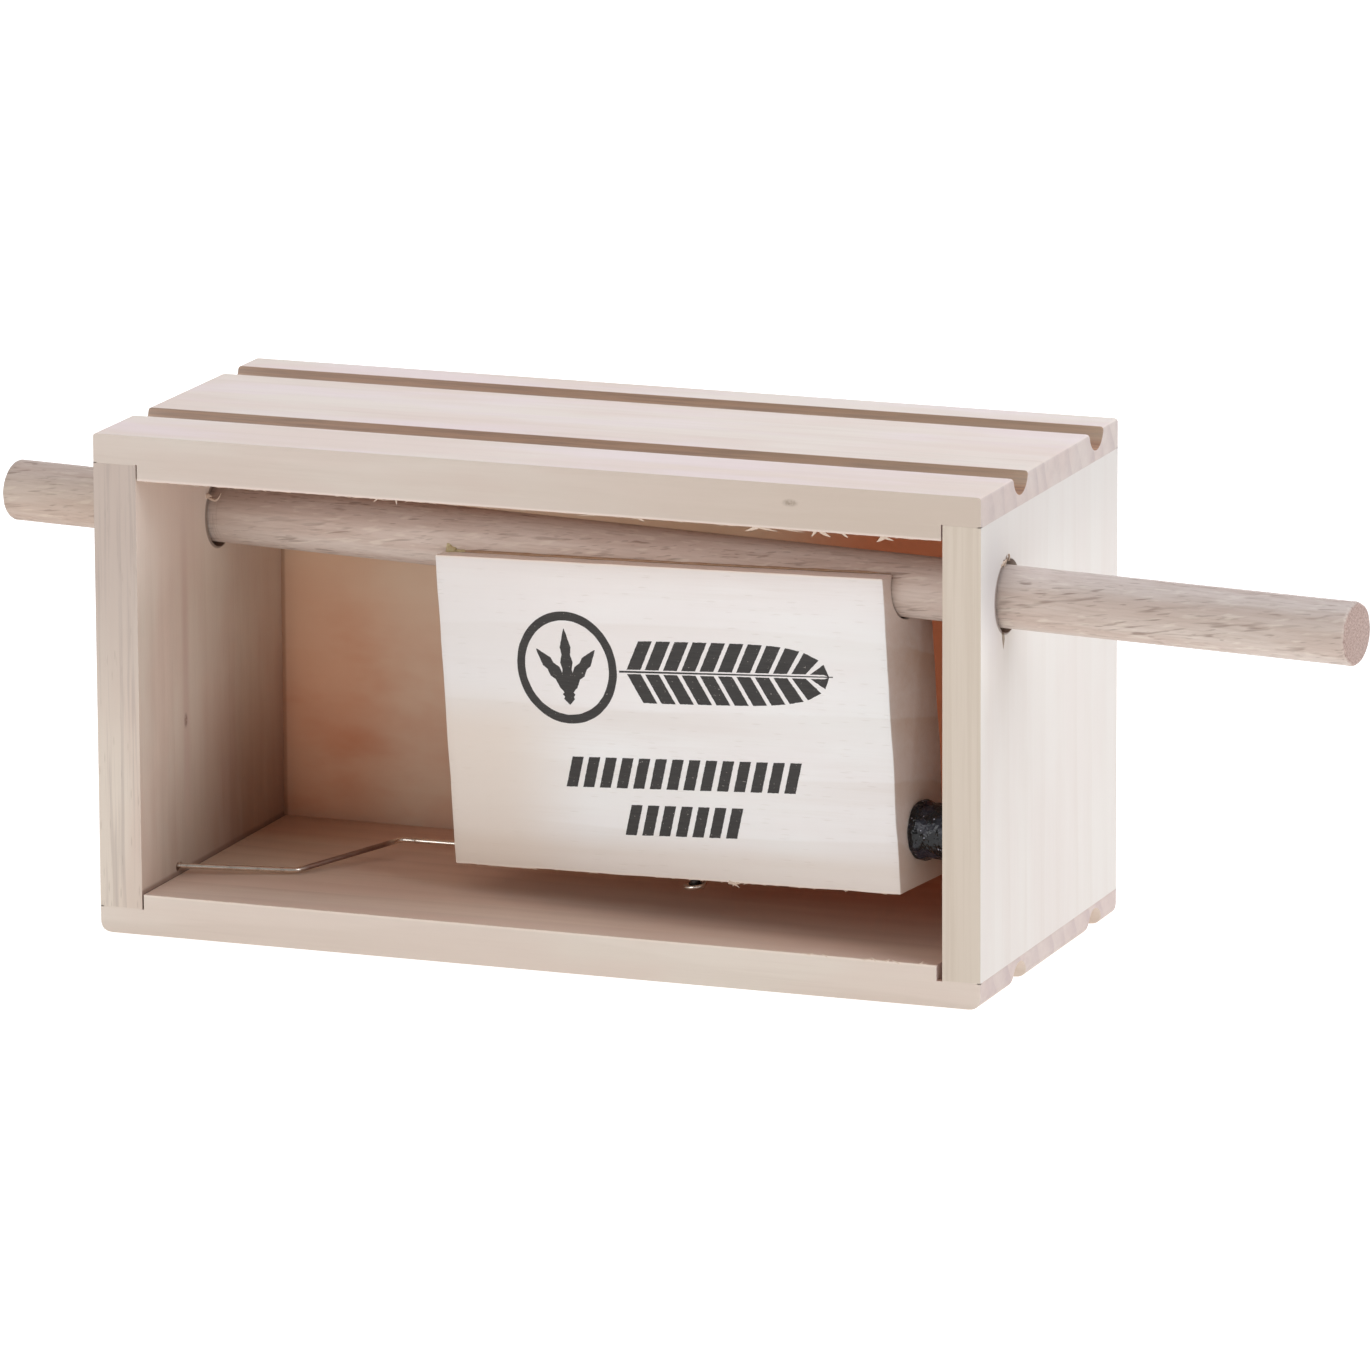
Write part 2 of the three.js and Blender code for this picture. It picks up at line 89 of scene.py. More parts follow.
def widest_normal(node, towards):
    """Normal of the largest facet of a CAD node that faces roughly along towards."""
    facing = [p for p in frame["nodes"][node].data.polygons if p.normal.dot(towards) > 0.9]
    return max(facing, key=lambda p: p.area).normal.copy()


def extents(node, place):
    """Lowest and highest corner of a CAD node measured in another frame, in millimetres."""
    inverse = place.inverted()
    points = [inverse @ v.co for v in frame["nodes"][node].data.vertices]
    low = Vector(min(p[i] for p in points) for i in range(3)) / MM
    high = Vector(max(p[i] for p in points) for i in range(3)) / MM
    return low, high


rod_axis = -Vector(joints["rod_slide"]["axis"]).normalized()
rod_centre = Vector(joints["striker_swing"]["pos_m"])
rod_frame = axes_frame(rod_centre, rod_axis, Vector((0, 0, 1)).cross(rod_axis).normalized())
rod_low, rod_high = extents("push_rod", rod_frame)
rod_radius = rod_high.y

block_x = widest_normal("striker_block", rod_axis)
block_y = -widest_normal("striker_block", -(rod_frame.col[1].to_3d()))
block_frame = axes_frame(rod_centre, block_x, block_y)
block_low, block_high = extents("striker_block", block_frame)
block_frame = block_frame @ Matrix.Translation((block_low + block_high) / 2 * MM)
block_half = (block_high - block_low) / 2

left_low, left_high = (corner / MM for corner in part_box("left_end_panel"))
right_low, right_high = (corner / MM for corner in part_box("right_end_panel"))
top_low, top_high = (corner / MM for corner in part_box("top_plank"))
bottom_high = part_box("bottom_plank")[1] / MM
FRONT_Y = top_low.y

# ---- Node helpers ----


def srgb(red, green, blue):
    """An 8-bit colour as linear RGBA."""
    linear = []
    for value in (red, green, blue):
        v = value / 255
        linear.append(v / 12.92 if v <= 0.04045 else ((v + 0.055) / 1.055) ** 2.4)
    return (*linear, 1.0)


class Nodes:
    """A material whose node tree is written as nested calls."""

    def __init__(self, name):
        self.material = bpy.data.materials.new(name)
        self.material.use_nodes = True
        self.tree = self.material.node_tree
        self.tree.nodes.clear()

    def add(self, kind, inputs=None, **settings):
        node = self.tree.nodes.new("ShaderNode" + kind)
        for key, value in settings.items():
            setattr(node, key, value)
        for key, value in (inputs or {}).items():
            if isinstance(value, bpy.types.NodeSocket):
                self.tree.links.new(value, node.inputs[key])
            else:
                node.inputs[key].default_value = value
        return node

    def math(self, operation, a, b=0.0, c=0.0, clamp=False):
        node = self.add("Math", {0: a, 1: b, 2: c}, operation=operation, use_clamp=clamp)
        return node.outputs[0]

    def vector(self, operation, a, b=(0, 0, 0)):
        node = self.add("VectorMath", {0: a, 1: b}, operation=operation)
        return node.outputs["Value" if operation in ("LENGTH", "DOT_PRODUCT") else "Vector"]

    plus = partialmethod(math, "ADD")
    minus = partialmethod(math, "SUBTRACT")
    larger = partialmethod(math, "MAXIMUM")
    size = partialmethod(math, "ABSOLUTE")
    slope = partialmethod(math, "MULTIPLY_ADD")
    away = partialmethod(vector, "SUBTRACT")
    stretch = partialmethod(vector, "MULTIPLY")
    length = partialmethod(vector, "LENGTH")

    def times(self, first, *others):
        """The product of all its arguments."""
        for other in others:
            first = self.math("MULTIPLY", first, other)
        return first

    def scaled(self, a, scale):
        return self.add("VectorMath", {0: a, "Scale": scale}, operation="SCALE").outputs["Vector"]

    def mix(self, factor, a, b, blend="MIX"):
        """Blends two colours; one given as three numbers is an 8-bit sRGB colour."""
        a, b = (srgb(*c) if isinstance(c, tuple) and len(c) == 3 else c for c in (a, b))
        node = self.add("Mix", {0: factor, 6: a, 7: b}, data_type="RGBA", blend_type=blend)
        return node.outputs[2]

    def stain(self, colour, stain, *masks):
        """Lays a second colour over the first by the product of the masks."""
        return self.mix(self.times(*masks), colour, stain)

    def tint(self, colour, ratios, *masks):
        """Multiplies a colour by three ratios, by the product of the masks."""
        return self.mix(self.times(*masks), colour, (*ratios, 1.0), "MULTIPLY")

    def step(self, value, low, high, to_low=0.0, to_high=1.0):
        """A smooth ramp between two values."""
        inputs = {"Value": value, "From Min": low, "From Max": high, "To Min": to_low, "To Max": to_high}
        return self.add("MapRange", inputs, interpolation_type="SMOOTHSTEP").outputs["Result"]

    def facing(self, axis, low, high, to_low=0.0, to_high=1.0):
        """A ramp on one component of the surface normal."""
        return self.step(self.part(self.normal(), axis), low, high, to_low, to_high)

    def noise(self, vector, detail=2.0, roughness=0.5, scale=1.0):
        inputs = {"Vector": vector, "Scale": scale, "Detail": detail, "Roughness": roughness}
        return self.add("TexNoise", inputs).outputs["Fac"]

    def cells(self, vector):
        node = self.add("TexVoronoi", {"Vector": vector, "Scale": 1.0}, voronoi_dimensions="3D")
        return node.outputs["Distance"], node.outputs["Color"]

    def position(self):
        """The point in the piece's own coordinates, in millimetres."""
        return self.scaled(self.add("TexCoord").outputs["Object"], 1 / MM)

    def normal(self):
        return self.add("TexCoord").outputs["Normal"]

    def part(self, vector, axis):
        return self.parts(vector)[axis]

    def bump(self, height, strength, distance):
        inputs = {"Height": height, "Strength": strength, "Distance": distance * MM}
        return self.add("Bump", inputs).outputs["Normal"]

    def parts(self, vector):
        return self.add("SeparateXYZ", {0: vector}).outputs

    def finish(self, colour, roughness, normal, specular=0.5, metallic=0.0, clear=0.0):
        """Closes the tree with one principled shader and returns the material."""
        inputs = {"Base Color": colour, "Roughness": roughness, "Normal": normal, "Metallic": metallic}
        inputs.update({"Specular IOR Level": specular, "Transmission Weight": clear})
        return self.output(self.add("BsdfPrincipled", inputs))

    def output(self, shader):
        self.add("OutputMaterial", {"Surface": shader.outputs[0]})
        return self.material


# ---- Wood ----

PLANK_LATE = (188, 168, 150)
INTERIOR_PAINTED_SHADE = (0.82, 0.55, 0.45)
HEART_AND_PAINTED_SHADE = (0.64, 0.49, 0.42)
WALL_FOOT_PAINTED_SHADE = (0.64, 0.60, 0.58)
BOARD_PAINTED_SHADE = (0.76, 0.73, 0.71)
RIGHT_END_PAINTED_SHADE = (0.9, 0.48, 0.34)
RIGHT_END_GLOW_SHADE = (0.95, 0.69, 0.58)
BLOCK_PAINTED_SHADOW = (0.87, 0.89, 0.92)
CORNER_PAINTED_SHADE = (0.82, 0.82, 0.77)
ROD_TOP_PAINTED_SHADE = (0.86, 0.87, 0.89)
STUB_TINT = (0.95, 0.91, 0.87)

TOP_KNOT = (40.5, FRONT_Y, 73.4)
WALL_KNOT = (left_high.x, -13.4, 29.2)
PINK_STREAK_Y = -13.2
ROD_SHADOW_CENTRE = (right_high.x, -25.5, 61.0)
WALL_POINT = Vector((left_high.x, -17.3, 7.6))
LEFT_SCUFF_X = (rod_frame.inverted() @ Vector((left_high.x * MM, 0.0, rod_centre.z))).x / MM + 0.6
BORE_RADIUS = 5.4
GROOVES_Y = (-13.3, 20.8)
GROOVE_RADIUS = 3.2
GROOVE_DEPTH = 2.9


def wood(
    name, grain, rings, light, warm, late, ring_gap, ring_depth, fibre_depth, seed=0.0, warp=3.0,
    ticks=None, end_colour=(190, 160, 152), end_depth=0.45, knots=(), roughness=0.72, bump=(0.45, 0.1),
    specular=0.3, marks=None, surface=None,
):
    """Solid three-dimensional wood: rings, fibres, ticks and knots, darker on its end grain.

    grain is the axis the fibres follow and rings the direction the growth rings are stacked in.
    ticks is a depth and a colour; a knot is a centre, a radius, a stretch and a pull on the rings.
    marks adds a piece's own stains, painted light and painted shade to the colour, and surface takes the
    place of the usual shader.
    """
    n = Nodes(name)
    point = n.position()
    shifted = n.vector("ADD", point, (seed, seed * 1.7, seed * 0.6))
    along = Vector((0, 0, 0))
    along[grain] = 1.0
    across_rings = tuple(Vector(rings).normalized())

    def stretched(scale_along, scale_across):
        scale = [scale_across] * 3
        scale[grain] = scale_along
        return n.stretch(shifted, scale)

    wander = n.minus(n.noise(stretched(0.006, 0.045)), 0.5)
    ripple = n.minus(n.noise(stretched(0.03, 0.25)), 0.5)
    ring = n.vector("DOT_PRODUCT", shifted, across_rings)
    ring = n.plus(ring, n.times(wander, warp * 4))
    ring = n.plus(ring, n.times(ripple, warp * 0.25))

    knot_mask = None
    for centre, radius, stretch, pull in knots:
        # Rings bow away from a knot: the ring coordinate is squeezed near it.
        squeeze = [1.0] * 3
        squeeze[grain] = 1 / stretch
        from_knot = n.away(point, centre)
        distance = n.math("DIVIDE", n.length(n.stretch(from_knot, squeeze)), radius)
        fall = n.math("POWER", 2.718, n.times(distance, distance, -0.1))
        offset = n.vector("DOT_PRODUCT", from_knot, across_rings)
        ring = n.minus(ring, n.times(offset, fall, pull))
        core = n.step(distance, 1.15, 0.3)
        knot_mask = core if knot_mask is None else n.larger(knot_mask, core)

    cycle = n.math("FRACT", n.math("DIVIDE", ring, ring_gap))
    patchy = n.step(n.noise(stretched(0.012, 0.1)), 0.35, 0.7, 0.3, 1.0)
    line = n.times(n.step(cycle, 0.25, 0.93), n.step(cycle, 1.0, 0.94), patchy)

    fibres = n.noise(stretched(0.07, 2.6), 4.0, 0.7)
    threads = n.noise(stretched(0.03, 0.7), 3.0, 0.6)
    cloud = n.noise(stretched(0.02, 0.07), 3.0, 0.6)
    worn = n.step(n.noise(stretched(0.03, 0.12)), 0.4, 0.65, 0.25, 1.0)

    colour = n.mix(n.step(cloud, 0.38, 0.62), light, warm)
    colour = n.stain(colour, late, line, ring_depth)
    both = n.slope(fibres, 0.45, n.times(threads, 0.55))
    colour = n.stain(colour, late, n.step(both, 0.42, 0.66), worn, fibre_depth)
    height = n.plus(n.times(fibres, 0.7), n.times(line, 0.3))

    if ticks:
        distance, cell_colour = n.cells(stretched(0.28, 2.6))
        chosen = n.step(n.part(cell_colour, 0), 0.66, 0.7)
        edge_on = n.step(n.size(n.part(n.normal(), 1)), 0.5, 0.9, 0.25, 1.0)
        tick = n.times(n.step(distance, 0.3, 0.12), chosen, edge_on)
        colour = n.stain(colour, ticks[1], tick, ticks[0])
        height = n.minus(height, n.times(tick, 0.8))

    if knot_mask is not None:
        swirl = n.noise(n.scaled(point, 2.4), 3.0, 0.6)
        colour = n.stain(colour, (112, 92, 78), knot_mask, n.step(swirl, 0.3, 0.6, 0.45, 1.0), 0.85)

    end_grain = n.step(n.size(n.vector("DOT_PRODUCT", n.normal(), tuple(along))), 0.7, 0.95)
    end_line = n.plus(n.times(line, 0.35), n.times(threads, 0.4))
    pores = n.noise(n.scaled(point, 5.0), 3.0, 0.7)
    end_line = n.plus(end_line, n.times(n.minus(pores, 0.5), 0.4))
    colour = n.stain(colour, end_colour, end_grain, n.slope(end_line, 0.7, end_depth - 0.15, clamp=True))

    if marks:
        colour = marks(n, point, colour, fibres)
    shine = n.slope(fibres, 0.18, roughness - 0.09)
    if surface:
        return surface(n, point, colour, height, shine)
    return n.finish(colour, shine, n.bump(height, *bump), specular)


def line_distance(n, point, y, z):
    """Distance from a line that runs along X at this Y and Z."""
    return n.length(n.stretch(n.away(point, (0.0, y, z)), (0.0, 1.0, 1.0)))


def near_line(n, point, y, z, reach):
    """1 on a line along X, fading to 0 over the reach."""
    return n.step(line_distance(n, point, y, z), reach, reach * 0.35)


def grooves(n, point, colour, fibres, amount):
    """Routed grooves are painted browner and streakier than the sanded faces: partly their rougher skin,
    partly painted shade in the hollow.
    """
    for y in GROOVES_Y:
        away = line_distance(n, point, y, top_high.z - GROOVE_DEPTH + GROOVE_RADIUS)
        inside = n.step(away, GROOVE_RADIUS + 0.1, GROOVE_RADIUS - 0.02)
        streaked = n.mix(n.step(fibres, 0.38, 0.66), (172, 126, 90), (132, 92, 64))
        colour = n.stain(colour, streaked, inside, amount)
    return colour


def top_plank_marks(n, point, colour, fibres):
    """Pink blushes on top, browner grooves and front edge, a painted highlight along the lower front edge,
    and painted warm shade underneath.
    """
    x = n.part(point, 0)
    blush = n.noise(n.stretch(point, (0.02, 0.09, 0.09)), 3.0, 0.6)
    colour = n.stain(colour, (228, 212, 212), n.facing(2, 0.5, 0.9), n.step(blush, 0.45, 0.65, 0.0, 0.5))
    colour = grooves(n, point, colour, fibres, n.step(x, left_low.x, 50.0, 0.66, 0.92))
    # The front is browner towards the right: partly its own tone, partly painted shade.
    browner = n.step(x, -30.0, 60.0, 0.15, 0.55)
    colour = n.stain(colour, (202, 184, 164), n.facing(1, -0.5, -0.9), browner)
    # A pale line along the lower front edge is a painted highlight.
    colour = n.stain(colour, (246, 226, 214), near_line(n, point, FRONT_Y, top_low.z, 0.5), 0.55)
    # Painted warm shade browns the underside, which faces into the box.
    return n.tint(colour, INTERIOR_PAINTED_SHADE, n.facing(2, -0.5, -0.9, 0.0, 0.8))


def bottom_plank_marks(n, point, colour, fibres):
    """Inside the box the floor is browned with painted warm shade, most of all under the block, with
    painted shade in the back-left corner, a painted shadow of the block and a painted highlight along its
    front edge.
    """
    upward = n.facing(2, 0.5, 0.9)
    x, y, _ = n.parts(point)
    # Painted warm shade: the floor inside the box is browner, most towards the back and the right.
    brown = n.times(n.step(x, left_high.x, 40.0, 0.55, 1.0), n.step(y, FRONT_Y, 4.0, 0.5, 1.0))
    brown = n.larger(brown, n.step(y, -4.0, 16.0, 0.0, 0.85))
    colour = n.tint(colour, INTERIOR_PAINTED_SHADE, upward, brown)
    # Painted shade in the back-left corner, beside the left wall.
    corner = n.times(n.step(x, -34.0, -56.0, 0.0, 0.9), n.step(y, -20.0, -6.0))
    colour = n.tint(colour, CORNER_PAINTED_SHADE, upward, corner)
    # Painted shadow of the block on the floor.
    dim = n.times(n.step(x, -25.0, 15.0), n.step(y, -26.0, -14.0))
    colour = n.tint(colour, BLOCK_PAINTED_SHADOW, upward, dim)
    # A pale line along the front edge is a painted highlight.
    return n.stain(colour, (244, 228, 212), near_line(n, point, FRONT_Y, bottom_high.z, 0.45), 0.5)


def bore_rim(n, point, colour):
    """A brown line round the mouth of the rod's hole."""
    offset = n.away(point, tuple(rod_centre / MM))
    away = n.length(n.vector("CROSS_PRODUCT", offset, tuple(rod_axis)))
    return n.stain(colour, (112, 86, 70), n.step(away, BORE_RADIUS + 0.35, BORE_RADIUS + 0.05, 0.0, 0.7))


def left_wall_marks(n, point, colour, fibres):
    """A brown heart streak low on the inner face, deepened by painted shade, and a pink one through the
    knot; painted shade at the foot, painted light higher up and a painted dark spot at the wire's hole.
    """
    inward = n.facing(0, 0.5, 0.9)
    _, y, z = n.parts(point)
    ragged = n.noise(n.stretch(point, (0.2, 0.22, 0.03)))
    # A brown heart streak, deepened by painted shade towards the back and the foot of the inner face.
    deep = n.times(n.step(y, -24.0, 12.0, 0.12, 1.0), n.step(z, 46.0, 10.0, 0.04, 1.0))
    deep = n.times(deep, n.step(ragged, 0.3, 0.65, 0.78, 1.0))
    colour = n.tint(colour, HEART_AND_PAINTED_SHADE, inward, deep)
    # Painted shade darkens the foot of the inner face.
    foot = n.times(n.step(z, 36.0, 4.0), n.step(y, 14.0, 2.0, 0.5, 1.0), n.step(y, -31.0, -18.0, 0.5, 1.0))
    foot = n.larger(foot, n.step(y, -20.0, -28.0, 0.0, 0.25))
    colour = n.tint(colour, WALL_FOOT_PAINTED_SHADE, inward, foot)
    # Painted light makes the upper inner face paler.
    colour = n.stain(colour, (252, 238, 224), inward, n.step(z, 46.0, 62.0, 0.0, 0.6))
    beside = n.step(n.size(n.plus(y, -PINK_STREAK_Y)), 2.0, 0.2)
    pink = n.times(beside, n.step(z, 66.0, 44.0, 0.0, 0.35), n.step(z, 8.0, 26.0))
    colour = n.stain(colour, (196, 160, 150), inward, pink)
    seam = n.step(z, bottom_high.z + 0.9, bottom_high.z + 0.3, 0.0, 0.55)
    colour = n.stain(colour, (120, 84, 70), inward, seam)
    # A dark spot is painted where the wire enters the wall, standing in for the shade in its hole.
    hole = n.length(n.away(point, (left_high.x, WALL_POINT.y, WALL_POINT.z - 0.2)))
    colour = n.stain(colour, (96, 70, 54), n.step(hole, 0.8, 0.5))
    colour = bore_rim(n, point, colour)
    # Painted shade darkens the front edge towards the top, and grey weathered lines run up it.
    frontward = n.facing(1, -0.5, -0.9)
    colour = n.stain(colour, (198, 180, 168), frontward, n.step(z, 20.0, 60.0, 0.1, 0.8))
    weather = n.noise(n.stretch(point, (1.3, 1.0, 0.03)), 3.0, 0.6)
    return n.stain(colour, (180, 164, 154), frontward, n.step(weather, 0.5, 0.68, 0.0, 0.45))


def right_wall_marks(n, point, colour, fibres):
    """The front edge is a warmer, ribbed edge grain; a painted shadow of the rod greys the outer face
    beside it, the outer face greys towards the top, and painted warm shade browns the inner face.
    """
    ribs = n.noise(n.stretch(point, (1.2, 1.0, 0.02)), 3.0, 0.6)
    edge_grain = n.mix(n.step(ribs, 0.4, 0.62), (219, 203, 184), (212, 195, 175))
    colour = n.stain(colour, edge_grain, n.facing(1, -0.5, -0.9), 0.85)
    # Painted warm shade browns the inner face.
    colour = n.tint(colour, INTERIOR_PAINTED_SHADE, n.facing(0, -0.5, -0.9, 0.0, 0.7))
    # Painted shadow of the rod greys the outer face beside the bore.
    away = n.length(n.stretch(n.away(point, ROD_SHADOW_CENTRE), (0.0, 1.0, 0.55)))
    outward = n.facing(0, 0.5, 0.9)
    colour = n.stain(colour, (176, 170, 174), outward, n.step(away, 7.5, 1.5, 0.0, 0.34))
    colour = n.stain(colour, (208, 202, 196), outward, n.step(n.part(point, 2), 52.0, 74.0, 0.0, 0.5))
    return bore_rim(n, point, colour)


def block_marks(n, point, colour, fibres):
    """Chalk on the back, where the block rubs on the peg, a stain low on the left of the face, painted
    shade on its left half and painted highlights along its top and bottom front edges.
    """
    x, _, z = n.parts(point)
    powder = n.noise(n.stretch(point, (0.12, 1.0, 0.5)), 4.0, 0.7)
    on_back = n.facing(1, 0.6, 0.95)
    colour = n.stain(colour, (246, 246, 248), on_back, n.step(powder, 0.42, 0.62), 0.7)
    # Painted shade greys the left half of the face a little.
    colour = n.stain(colour, (240, 236, 232), n.step(x, -8.0, -block_half.x, 0.0, 0.6))
    colour = n.stain(colour, (236, 220, 204), n.step(x, -12.0, -30.0), n.step(z, 6.0, -4.0), 0.75)
    # The lowest strip of the face is a little browner, and pale lines along the top and bottom front edges
    # are painted highlights.
    foot = n.step(z, 6.5 - block_half.z, 3.0 - block_half.z, 0.0, 0.5)
    colour = n.stain(colour, (224, 206, 188), foot)
    for corner_z in (block_half.z, -block_half.z):
        painted_edge_highlight = near_line(n, point, -block_half.y, corner_z, 0.5)
        colour = n.stain(colour, (250, 236, 220), painted_edge_highlight, 0.6)
    return colour


def peg_marks(n, point, colour, fibres):
    """The nose is worn and white with chalk."""
    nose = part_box("sounding_peg")[0].y / MM
    near_nose = n.step(n.part(point, 1), nose + 5.0, nose + 1.0)
    powder = n.noise(n.scaled(point, 1.4), 4.0, 0.7)
    return n.stain(colour, (244, 244, 246), near_nose, n.step(powder, 0.3, 0.55), 0.85)


def tone_board_surface(n, point, colour, height, shine):
    """Thin board: salmon painted into its colour where light soaks through it, duller towards the top, and
    darkened with painted shade low down, behind the bumper and towards the right wall.
    """
    x, _, z = n.parts(point)
    inside = n.facing(1, 0.5, -0.5)
    low = n.step(z, 56.0, 20.0, 0.1, 1.0)
    blotch = n.noise(n.stretch(point, (0.06, 0.1, 0.12)), 3.0, 0.6)
    blotch = n.step(blotch, 0.38, 0.66, 0.45, 1.0)
    # Salmon painted into the colour stands in for light soaking through the board.
    colour = n.stain(colour, (200, 138, 112), low, blotch, n.slope(inside, 0.65, 0.35))
    # Painted shade: the inner face is darker towards the floor and behind the bumper.
    dark = n.times(n.larger(n.step(z, 32.0, 0.0), n.step(x, 50.0, 64.0)), inside)
    colour = n.tint(colour, BOARD_PAINTED_SHADE, dark)
    pale = n.step(x, -54.0, -40.0)
    colour = n.stain(colour, (222, 204, 186), pale, 0.4)
    colour = n.stain(colour, (226, 206, 186), n.step(x, -48.0, -58.0, 0.0, 0.3))
    joint = n.step(x, left_high.x + 0.8, left_high.x + 0.3, 0.0, 0.6)
    colour = n.stain(colour, (96, 66, 52), inside, joint)
    # Painted shade towards the right wall: the inner face and its glow turn a darker deep orange, as where
    # only light through the board reaches.
    right_end_shade = n.times(inside, n.step(x, 12.0, 36.0))
    colour = n.tint(colour, RIGHT_END_PAINTED_SHADE, right_end_shade)
    glow = n.mix(low, (236, 212, 190), (236, 194, 164))
    glow = n.stain(glow, (236, 216, 198), pale)
    glow = n.tint(glow, BOARD_PAINTED_SHADE, dark)
    glow = n.tint(glow, RIGHT_END_GLOW_SHADE, right_end_shade)
    normal = n.bump(height, 0.3, 0.08)
    inputs = {"Base Color": colour, "Roughness": shine, "Normal": normal, "Specular IOR Level": 0.3}
    planed = n.add("BsdfPrincipled", inputs)
    soaked = n.add("BsdfTranslucent", {"Color": glow, "Normal": normal})
    return n.output(n.add("MixShader", {0: 0.42, 1: planed.outputs[0], 2: soaked.outputs[0]}))


plank_top_wood = wood(
    "plank_wood_top", grain=0, rings=(0.0, 0.93, 0.36), seed=11.0, marks=top_plank_marks,
    light=(225, 213, 201), warm=(222, 205, 193), late=PLANK_LATE, end_colour=(184, 168, 166),
    ring_gap=4.6, ring_depth=0.1, fibre_depth=0.14, knots=[(TOP_KNOT, 0.62, 2.2, 0.85)],
)
plank_bottom_wood = wood(
    "plank_wood_bottom", grain=0, rings=(0.0, 0.88, 0.47), seed=37.0, marks=bottom_plank_marks,
    light=(230, 217, 203), warm=(228, 211, 197), late=PLANK_LATE, end_colour=(194, 174, 174),
    ring_gap=5.2, ring_depth=0.18, fibre_depth=0.14,
)
left_wall_wood = wood(
    "wall_wood_left", grain=2, rings=(0.5, 0.86, 0.0), seed=53.0, marks=left_wall_marks,
    light=(230, 216, 200), warm=(224, 204, 188), late=(186, 160, 142), ticks=(0.22, (150, 128, 112)),
    ring_gap=3.6, ring_depth=0.08, fibre_depth=0.12, warp=2.2,
    knots=[(WALL_KNOT, 0.7, 1.9, 0.7)],
)
right_wall_wood = wood(
    "wall_wood_right", grain=2, rings=(0.45, 0.89, 0.0), seed=71.0, marks=right_wall_marks,
    light=(230, 223, 215), warm=(228, 219, 211), late=(208, 193, 178),
    ring_gap=6.5, ring_depth=0.14, fibre_depth=0.12, warp=2.5,
)
tone_board_wood = wood(
    "tone_board_wood", grain=0, rings=(0.0, 0.3, 0.95), seed=90.0, surface=tone_board_surface,
    light=(232, 222, 202), warm=(230, 212, 192), late=(210, 182, 156), end_colour=(180, 130, 100),
    ring_gap=9.0, ring_depth=0.28, fibre_depth=0.14, roughness=0.62,
)
block_wood = wood(
    "block_wood", grain=0, rings=(0.0, 0.35, 0.94), seed=23.0, marks=block_marks,
    light=(250, 247, 243), warm=(248, 242, 238), late=(216, 200, 184), ticks=(0.13, (196, 178, 162)),
    ring_gap=9.5, ring_depth=0.24, fibre_depth=0.14, end_colour=(216, 192, 168), end_depth=0.34,
    bump=(0.4, 0.08),
)
peg_wood = wood(
    "peg_wood", grain=1, rings=(0.9, 0.0, 0.4), marks=peg_marks,
    light=(205, 176, 146), warm=(198, 164, 132), late=(158, 122, 92),
    ring_gap=1.6, ring_depth=0.5, fibre_depth=0.4, bump=(0.5, 0.1), specular=0.5,
)


def beech_material():
    """Beech dowel: soft dark ray flecks that climb across the rod, and scuffs by the left wall."""
    n = Nodes("beech_dowel")
    point = n.position()
    x = n.part(point, 0)
    fibres = n.noise(n.stretch(point, (0.16, 2.4, 2.4)), 4.0, 0.65)
    cloud = n.noise(n.stretch(point, (0.03, 0.35, 0.35)))
    colour = n.mix(n.step(cloud, 0.35, 0.65), (214, 198, 186), (205, 185, 172))
    colour = n.stain(colour, (172, 150, 132), n.step(fibres, 0.4, 0.7), 0.3)
    lean = (0.0, math.radians(9), 0.0)
    leaning = n.add("Mapping", {"Vector": point, "Rotation": lean}).outputs[0]
    flecks = []
    for along, across, low, high, amount in ((0.15, 1.6, 0.59, 0.71, 1.0), (0.26, 2.6, 0.615, 0.69, 0.7)):
        spots = n.noise(n.stretch(leaning, (along, across, across)), 1.5)
        flecks.append(n.times(n.step(spots, low, high), amount))
    crowded = n.step(n.noise(n.stretch(point, (0.05, 0.3, 0.3))), 0.38, 0.6, 0.35, 1.0)
    fleck = n.times(n.larger(*flecks), crowded)
    colour = n.stain(colour, (126, 102, 88), fleck, 0.58)
    pale = n.noise(n.stretch(leaning, (0.22, 1.5, 1.5)))
    colour = n.stain(colour, (232, 220, 204), n.step(pale, 0.56, 0.7, 0.0, 0.4))
    # Painted shade greys the upper side; the stub outside the left wall is darker and browner.
    colour = n.tint(colour, ROD_TOP_PAINTED_SHADE, n.facing(2, 0.1, 0.9))
    colour = n.tint(colour, STUB_TINT, n.step(x, LEFT_SCUFF_X - 4.0, LEFT_SCUFF_X - 8.0))
    end_grain = n.step(n.size(n.part(n.normal(), 0)), 0.6, 0.95)
    pores = n.noise(n.scaled(point, 3.0), 4.0, 0.7)
    end_colour = n.mix(n.step(pores, 0.35, 0.65), (196, 168, 156), (150, 122, 112))
    colour = n.stain(colour, end_colour, end_grain, 0.85)
    # Rings scratched round the rod where it works in the left wall.
    scuffed = n.step(n.size(n.minus(x, LEFT_SCUFF_X)), 2.6, 0.8)
    scratch = n.noise(n.stretch(point, (3.6, 0.25, 0.25)))
    colour = n.stain(colour, (120, 94, 80), scuffed, n.step(scratch, 0.5, 0.62, 0.0, 0.18))
    height = n.minus(n.times(fibres, 0.8), n.times(fleck, 0.6))
    return n.finish(colour, n.slope(fibres, 0.2, 0.52), n.bump(height, 0.5, 0.1), 0.35)


def splinter_material():
    """Raw torn fibres, paler than the sanded wood around them."""
    n = Nodes("torn_fibres")
    fibres = n.noise(n.stretch(n.position(), (0.6, 4.0, 4.0)), 3.0)
    colour = n.mix(fibres, (232, 214, 196), (204, 176, 152))
    return n.finish(colour, 0.85, n.bump(fibres, 0.5, 0.08))


